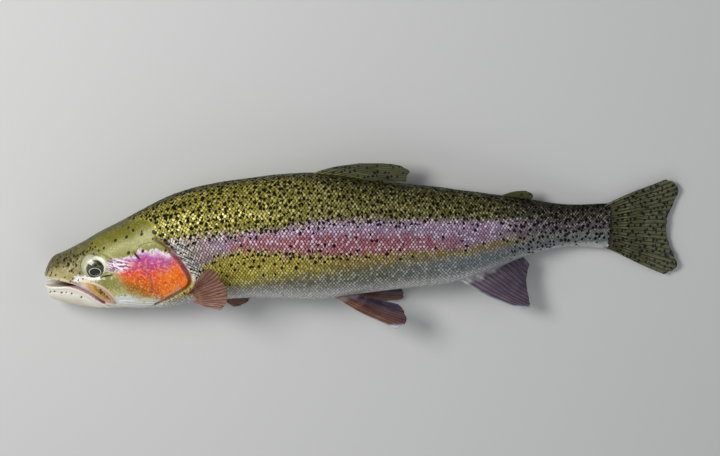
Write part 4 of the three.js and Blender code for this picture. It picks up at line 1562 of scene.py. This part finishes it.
# Angles are in degrees and lengths in millimetres, as on the solid model. The root of a fin is
# buried in the body, and its thickness falls from the root to the edge.
FINS = {
    "dorsal_fin": dict(
        front=on_body(264, 90), rear=on_body(332, 90), back=TAILWARD, out=BACKWARD,
        angles=(19, 8), lengths=[46, 62, 58, 38, 20], bend=-12, buried=6, thick=(3, 1.2), rays=13,
    ),
    "adipose_fin": dict(
        front=on_body(450, 90), rear=on_body(463, 90), back=TAILWARD, out=BACKWARD,
        angles=(30, 8), lengths=[24, 25, 20, 12], bend=-34, buried=4, thick=(3.6, 1.6), rays=0,
    ),
    "anal_fin": dict(
        front=on_body(403, -90), rear=on_body(466, -90), back=TAILWARD, out=BELLYWARD,
        angles=(32, 54), lengths=[66, 62, 45, 25, 9], bend=-12, droop=-3, buried=6,
        thick=(3.4, 1.1), rays=13,
    ),
    "pelvic_fin_left": dict(
        front=on_body(284, -78), rear=on_body(306, -76), back=(1, 0, 0.03), out=(0, -1, 0.12),
        angles=(30, 16), lengths=[67, 67, 56, 41], bend=-6, buried=5, thick=(3.4, 1.1), rays=10,
    ),
    "pelvic_fin_right": dict(
        front=on_body(284, -108), rear=on_body(306, -108), back=(1, 0, -0.2), out=(0, -1, -0.5),
        angles=(22, 4), lengths=[62, 63, 54, 42], bend=-6, buried=5, thick=(3, 1.1), rays=10,
    ),
    "pectoral_fin_left": dict(
        front=on_body(131, -74), rear=on_body(130, -40), back=(0.75, 0, 0.66), out=(0, -1, -0.4),
        angles=(6, -52), lengths=[32, 43, 47, 47, 46], cup=3, wander=0.12, buried=6,
        thick=(3.6, 1.1), rays=14,
    ),
    "pectoral_fin_right": dict(
        front=on_body(133, -128), rear=on_body(130, -150), back=(1, 0, -0.09), out=(0, -1, -0.2),
        angles=(34, 4), lengths=[44, 57, 62, 58], bend=2, buried=6, thick=(3, 1.1), rays=14,
    ),
    "tail_fin": dict(
        front=TAIL_ROOT + HALF_ROOT * BACKWARD, rear=TAIL_ROOT - HALF_ROOT * BACKWARD,
        back=(1, -0.03, -0.05), out=BACKWARD, angles=(24, -24),
        lengths=[66, 76, 70, 63, 61, 63, 70, 76, 66], buried=0, thick=(8, 1.2), rays=22,
    ),
}
print(len(FINS), "fins have", sum(fin["rays"] for fin in FINS.values()), "rays")

# %% [markdown]
# The rays' profile is a row of soft ridges, each of which forks in two and then in four. The
# skin between them is thinner, the whole fan ripples, and the edge is uneven, because each ray
# ends at its own length.

# %% Rays of a fin
FIN_ROWS, PER_RAY, FEWEST_RAYS = 44, 12, 5


def fin_axes(fin):
    """Directions along the root of a fin and away from it."""
    return unit(np.array(fin["back"], float)), unit(np.array(fin["out"], float))


def ridges(phase, width):
    """Soft ridges side by side, one to each whole step of the phase."""
    return bump(np.abs(phase % 1 - 0.5) * 2, width)[:, None]


def ray_relief(share, reach, rays):
    """1 on a ray and 0 beside it, then 1 along the middle of the skin between two rays."""
    phase = share * max(rays, 1)
    fork, second = ease(0.25, 0.42, reach)[None, :], ease(0.60, 0.76, reach)[None, :]
    whole = ridges(phase, 0.5) * (1 - fork)
    ray = whole + ridges(phase * 2, 0.6) * fork * (1 - second) + ridges(phase * 4, 0.65) * second
    gap = bump(np.minimum(phase % 1, 1 - phase % 1), 0.17)[:, None]
    return ray * (rays > 0), gap * (rays > 0)


def fin_lengths(fin, share):
    """How long the fin is from front to rear, with an uneven edge if it has rays."""
    ends = rng.normal(0, 0.007, max(fin["rays"], FEWEST_RAYS) * 2 + 1)
    uneven = np.interp(share * (len(ends) - 1), np.arange(len(ends)), ends)
    smooth = smooth_curve(np.linspace(0, 1, len(fin["lengths"])), fin["lengths"])(share)
    return smooth * (1 + uneven * (fin["rays"] > 0))


# %% [markdown]
# The middle of the sheet grows from the root in small steps that turn a little each time. Its
# two faces then stand off to both sides, further on a ray than between rays.


# %% The sheet of a fin
def fin_middle(fin, share, reach, side):
    """Points on the middle of the sheet, front to rear and root to edge."""
    rayed, buried = fin["rays"] > 0, fin["buried"]
    back, out = fin_axes(fin)
    start = np.radians(np.interp(share, [0, 1], fin["angles"]))[:, None]
    wander = np.sin(share * 9.0 + 1.3)[:, None] * np.sin(reach * 7.0 + share[:, None] * 5.0)
    wander = fin.get("wander", 0.05) * wander * rayed
    angle = (start + math.radians(fin.get("bend", 0)) * reach[None, :] + wander)[..., None]
    step = ((fin_lengths(fin, share) + buried) / FIN_ROWS)[:, None, None]
    moves = step * (np.cos(angle) * back + np.sin(angle) * out)
    root = fin["front"] + (fin["rear"] - fin["front"]) * share[:, None]
    root = root - buried * (np.cos(start) * back + np.sin(start) * out)
    grown = np.concatenate([0 * moves[:, :1], np.cumsum(moves[:, :-1], axis=1)], axis=1)
    lift = fin.get("cup", 0) * np.sin(math.pi * share)[:, None] * reach
    lift = lift + fin.get("droop", 0) * reach**2
    ripple = np.sin(share * math.pi * 5 + 0.7)[:, None] * reach**1.5 * 0.9
    return root[:, None] + grown + side * (lift + ripple * rayed)[..., None]


def fin_half_thickness(fin, share, reach, ray):
    """How far each face stands off the middle of the sheet."""
    fan = max(fin["rays"], FEWEST_RAYS)
    thick = np.interp(np.sqrt(reach), [0, 1], fin["thick"])[None, :] / 2
    soft = np.sqrt(1 - reach[None, :] ** 4 * 0.75)
    half = thick * (0.34 + 0.66 * ray if fin["rays"] else soft)
    lead = np.exp(-share * fan / 0.7)[:, None]
    half = half * (1 - 0.4 * ease(0.93, 1.0, reach)) + 0.25 * lead * (1 - reach)
    from_end = np.minimum(share, 1 - share) * len(share)
    return half * np.sqrt(np.clip(from_end / 3 + 0.15, 0, 1))[:, None]


def fin_sheet(fin):
    """Middle points, sideways direction, half thicknesses and values of a fin."""
    share = np.linspace(0, 1, max(fin["rays"], FEWEST_RAYS) * PER_RAY + 1)
    reach = np.linspace(0, 1, FIN_ROWS + 1)
    side = unit(np.cross(*fin_axes(fin)))
    ray, gap = ray_relief(share, reach, fin["rays"])
    middle = fin_middle(fin, share, reach, side)
    half = fin_half_thickness(fin, share, reach, ray)
    values = {"reach": reach[None, :], "across": share[:, None], "ray": ray, "gap": gap}
    shape = np.ones(middle.shape[:2])
    return middle, side, half * shape, {key: value * shape for key, value in values.items()}


print("a fin is", FIN_ROWS, "faces long and has", PER_RAY, "across each ray")

# %% [markdown]
# The two faces join round the edge into one closed sheet, and its ends are closed as well. Where
# a fin would reach below the floor, its sheet is lifted.

# %% Make the fins
FIN_FLOOR = 0.3
# Places along the map of the strips that close the front and the rear.
FRONT_STRIP, REAR_STRIP = [0.028, 0.028, 0.005, 0.005], [0.995, 0.995, 0.972, 0.972]


def make_fin(name, fin):
    middle, side, half, values = fin_sheet(fin)
    lowest = middle[..., 2] - np.abs(side[2]) * half
    middle[..., 2] += np.maximum(FIN_FLOOR - lowest, 0)
    near, far = middle + side * half[..., None], middle - side * half[..., None]
    rings = np.concatenate([near, far[:, ::-1]], axis=1)
    columns, count = rings.shape[:2]
    points = rings.reshape(-1, 3)
    around = tube_faces(columns, count)[:, ::-1]
    j = np.arange(count // 2 - 1)
    first = np.stack([j, j + 1, count - 2 - j, count - 1 - j], -1)
    last = (columns - 1) * count + first[:, ::-1]
    ring, turn = turns(around, count)
    v = np.stack([j, j + 1, j + 1, j], -1) / count
    maps = [
        (0.03 + 0.94 * ring / (columns - 1), turn),
        (np.broadcast_to(FRONT_STRIP, v.shape), v),
        (np.broadcast_to(REAR_STRIP, v.shape), v[:, ::-1]),
    ]
    uv = np.concatenate([np.stack(pair, -1).reshape(-1, 2) for pair in maps])
    both = {k: np.concatenate([v, v[:, ::-1]], axis=1).ravel() for k, v in values.items()}
    flat = np.stack([*fin_axes(fin), np.zeros(3)], -1)
    both["place"] = (points - fin["front"]) @ flat * MM
    return make_piece("trout_" + name, points, [around, first, last], both, uv)


fins = {}
for name, fin in FINS.items():
    fins[name] = make_fin(name, fin)
    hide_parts(name)
    print(fins[name].name, "has", len(fins[name].data.polygons), "faces")

# %% [markdown]
# Each fin has its own colours, from its front ray to its rear one, with darker skin between the
# rays and often a pale edge. The fins of the back and tail carry black spots as well.


# %% Material of the fins
def dress_fin(name, front, rear, between, edge, contrast, pepper=0.0, root=None, lead=0.0):
    """Pepper tells how many spots the fin has, lead how icy its first ray and its tip are."""
    shader = Shader("wet_" + name)
    get = shader.value
    place, ray, reach, across = shader.vector("place"), get("ray"), get("reach"), get("across")
    bent = shader.noise(shader.joined(across * 5, reach * 5), 1.0, 2.0)
    streaks = shader.noise(shader.joined(across * 60.0 + 7 * bent, reach * 2.4), 1.0)
    mottle = shader.noise(place, 110.0)
    hollow = (1 - ray.ease(0.1, 0.8)) * 0.5
    hollow = hollow.most(get("gap") * (0.4 + 1.2 * streaks)).most(streaks.ease(0.44, 0.34))
    ground = shader.layers(
        shader.blend((across + 0.9 * mottle - 0.45).ease(0.0, 0.85), front, rear),
        # Streaks of the colour called edge; on the pectoral fins they are a painted highlight.
        (streaks.ease(0.48, 0.75) * 0.5, edge),
        (hollow * reach.ease(0.04, 0.2) * contrast, between),
    )
    if root:
        at_root = 1 - (reach + 0.2 * mottle - 0.1).ease(0.10, 0.24)
        ground = shader.blend(at_root * 0.7, ground, root)
    leading = (1 - (across + 0.04 * mottle).ease(0.03, 0.075)) * reach.ease(0.05, 0.2) * 0.4
    tip = (reach + 0.25 * bent + 0.1 * streaks - 0.5 * across).ease(0.98, 1.10)
    ground = shader.blend(leading.most(tip) * lead, ground, ICE)
    black = spots(shader, place, pepper * reach.ease(0.06, 0.16), 0.95)
    fine = shader.noise(place, 1400.0, 2.0)
    shader.finish(
        [fins[name]],
        Base_Color=shader.blend(0.92 * black, ground, INK),
        Metallic=0.08 * ray,
        Roughness=0.36 + 0.14 * mottle,
        Specular_IOR_Level=0.35,
        Normal=shader.bump(0.4 * fine + 0.6 * streaks + ray, 0.0005, 0.7),
        Coat_Weight=0.3,
        Coat_Roughness=0.14,
    )
    print(shader.material.name, "has", len(shader.tree.nodes), "nodes")


# %% [markdown]
# The fins of the back and the tail are olive. The pectoral fins are terracotta and rust, and the
# pelvic and anal fins darken to a dusky purple behind an icy front edge.

# %% Colours of the fins
DARK_OLIVE, GREY_OLIVE, BLACKISH = colour(72, 72, 34), colour(108, 110, 74), colour(26, 27, 16)
MAUVE, DARK_PURPLE, ICE = colour(120, 100, 118), colour(34, 27, 40), colour(214, 224, 238)
TERRACOTTA, RUST, UMBER = colour(168, 122, 98), colour(150, 96, 74), colour(48, 30, 22)
ROOT_ORANGE, PINK_HIGHLIGHT, DULL = colour(188, 112, 62), colour(232, 200, 186), colour(92, 88, 72)
DUSK, BRONZE, HAZE = colour(70, 58, 78), colour(150, 96, 62), colour(170, 150, 150)

OLIVE_FIN = dict(front=GREY_OLIVE, rear=GREY_OLIVE, between=BLACKISH, edge=GREY_OLIVE, contrast=0.95)
DUSKY_FIN = dict(rear=DUSK, between=DARK_PURPLE, edge=HAZE, contrast=0.9)
PELVIC = dict(front=BRONZE, root=HAZE, lead=0.9, **DUSKY_FIN)
# The pectoral fins' pale pink streaks are a painted highlight.
PECTORAL = dict(
    front=TERRACOTTA, rear=RUST, between=UMBER, edge=PINK_HIGHLIGHT, contrast=0.95, root=ROOT_ORANGE,
)
FIN_LOOKS = {
    "dorsal_fin": dict(pepper=0.6, root=MOSS, **OLIVE_FIN),
    "adipose_fin": dict(
        front=DARK_OLIVE, rear=DARK_OLIVE, between=DARK_OLIVE, edge=BLACKISH, contrast=0.3, pepper=0.35,
    ),
    "tail_fin": dict(pepper=0.85, root=DULL, **OLIVE_FIN),
    # The anal fin's pearl root is a painted highlight along its base.
    "anal_fin": dict(front=MAUVE, root=PEARL, lead=0.95, **DUSKY_FIN),
    "pelvic_fin_left": PELVIC,
    "pelvic_fin_right": PELVIC,
    "pectoral_fin_left": PECTORAL,
    "pectoral_fin_right": PECTORAL,
}
for name, look in FIN_LOOKS.items():
    dress_fin(name, **look)

# %% [markdown]
# ## Floor, lights and camera
#
# The fish lies on a plain pale floor under soft lamps, and the camera looks down on its left
# flank, leaning a little towards its back. Floor, lamps and camera aren't part of the object.

# %% Floor
FLOOR_HALF = 3.0
corners = [(x * FLOOR_HALF, y * FLOOR_HALF, 0) for x, y in ((-1, -1), (1, -1), (1, 1), (-1, 1))]
floor_data = bpy.data.meshes.new("floor")
floor_data.from_pydata(corners, [], [(0, 1, 2, 3)])
floor = bpy.data.objects.new("floor", floor_data)
bpy.context.collection.objects.link(floor)
Shader("pale_floor").finish([floor], Base_Color=colour(205, 205, 202), Roughness=0.75)
print("the floor is", 2 * FLOOR_HALF, "m wide")

# %% [markdown]
# A long lens from far away shows the long body almost without perspective. One strong lamp beyond
# the snout gives the main light, and three weak ones fill in.

# %% Camera and lamps
CAMERA_DISTANCE, CAMERA_LENS = 3.5, 180.0
TARGET = Vector((0.044, 0.008, 0.035))
view_from = Vector((0.0, math.sin(CAMERA_LEAN), math.cos(CAMERA_LEAN)))


def aim(thing, place, target, up):
    """Puts a camera or lamp at a place and turns it towards a target."""
    back = (place - target).normalized()
    right = up.cross(back).normalized()
    thing.matrix_world = Matrix((right, back.cross(right), back)).transposed().to_4x4()
    thing.location = place


camera_data = bpy.data.cameras.new("camera")
camera_data.lens = CAMERA_LENS
camera = bpy.data.objects.new("camera", camera_data)
bpy.context.collection.objects.link(camera)
aim(camera, TARGET + view_from * CAMERA_DISTANCE, TARGET, Vector((0, 1, 0)))
bpy.context.scene.camera = camera

#        name    place               size (m)  watts
LAMPS = [
    ("key", (-0.80, 0.55, 1.2), 0.60, 16.0),
    ("side", (0.9, 0.35, 0.9), 0.7, 1.5),
    ("belly", (0.1, -1.0, 0.7), 0.8, 2.0),
    ("snout", (-1.1, -0.2, 0.7), 0.6, 2.0),
]
for name, place, size, watts in LAMPS:
    lamp_data = bpy.data.lights.new(name, "AREA")
    lamp_data.size = size
    lamp_data.energy = watts
    lamp = bpy.data.objects.new(name, lamp_data)
    bpy.context.collection.objects.link(lamp)
    aim(lamp, Vector(place), TARGET, Vector((0, 0, 1)))

PALE_SKY, SKY_STRENGTH = (0.86, 0.9, 1.0, 1.0), 0.22
world = bpy.data.worlds.new("studio")
world.use_nodes = True
background = world.node_tree.nodes["Background"]
background.inputs["Color"].default_value = PALE_SKY
background.inputs["Strength"].default_value = SKY_STRENGTH
bpy.context.scene.world = world
bpy.context.scene.view_settings.view_transform = "Standard"
print("the camera is", CAMERA_DISTANCE, "m away and", len(LAMPS), "lamps are lit")
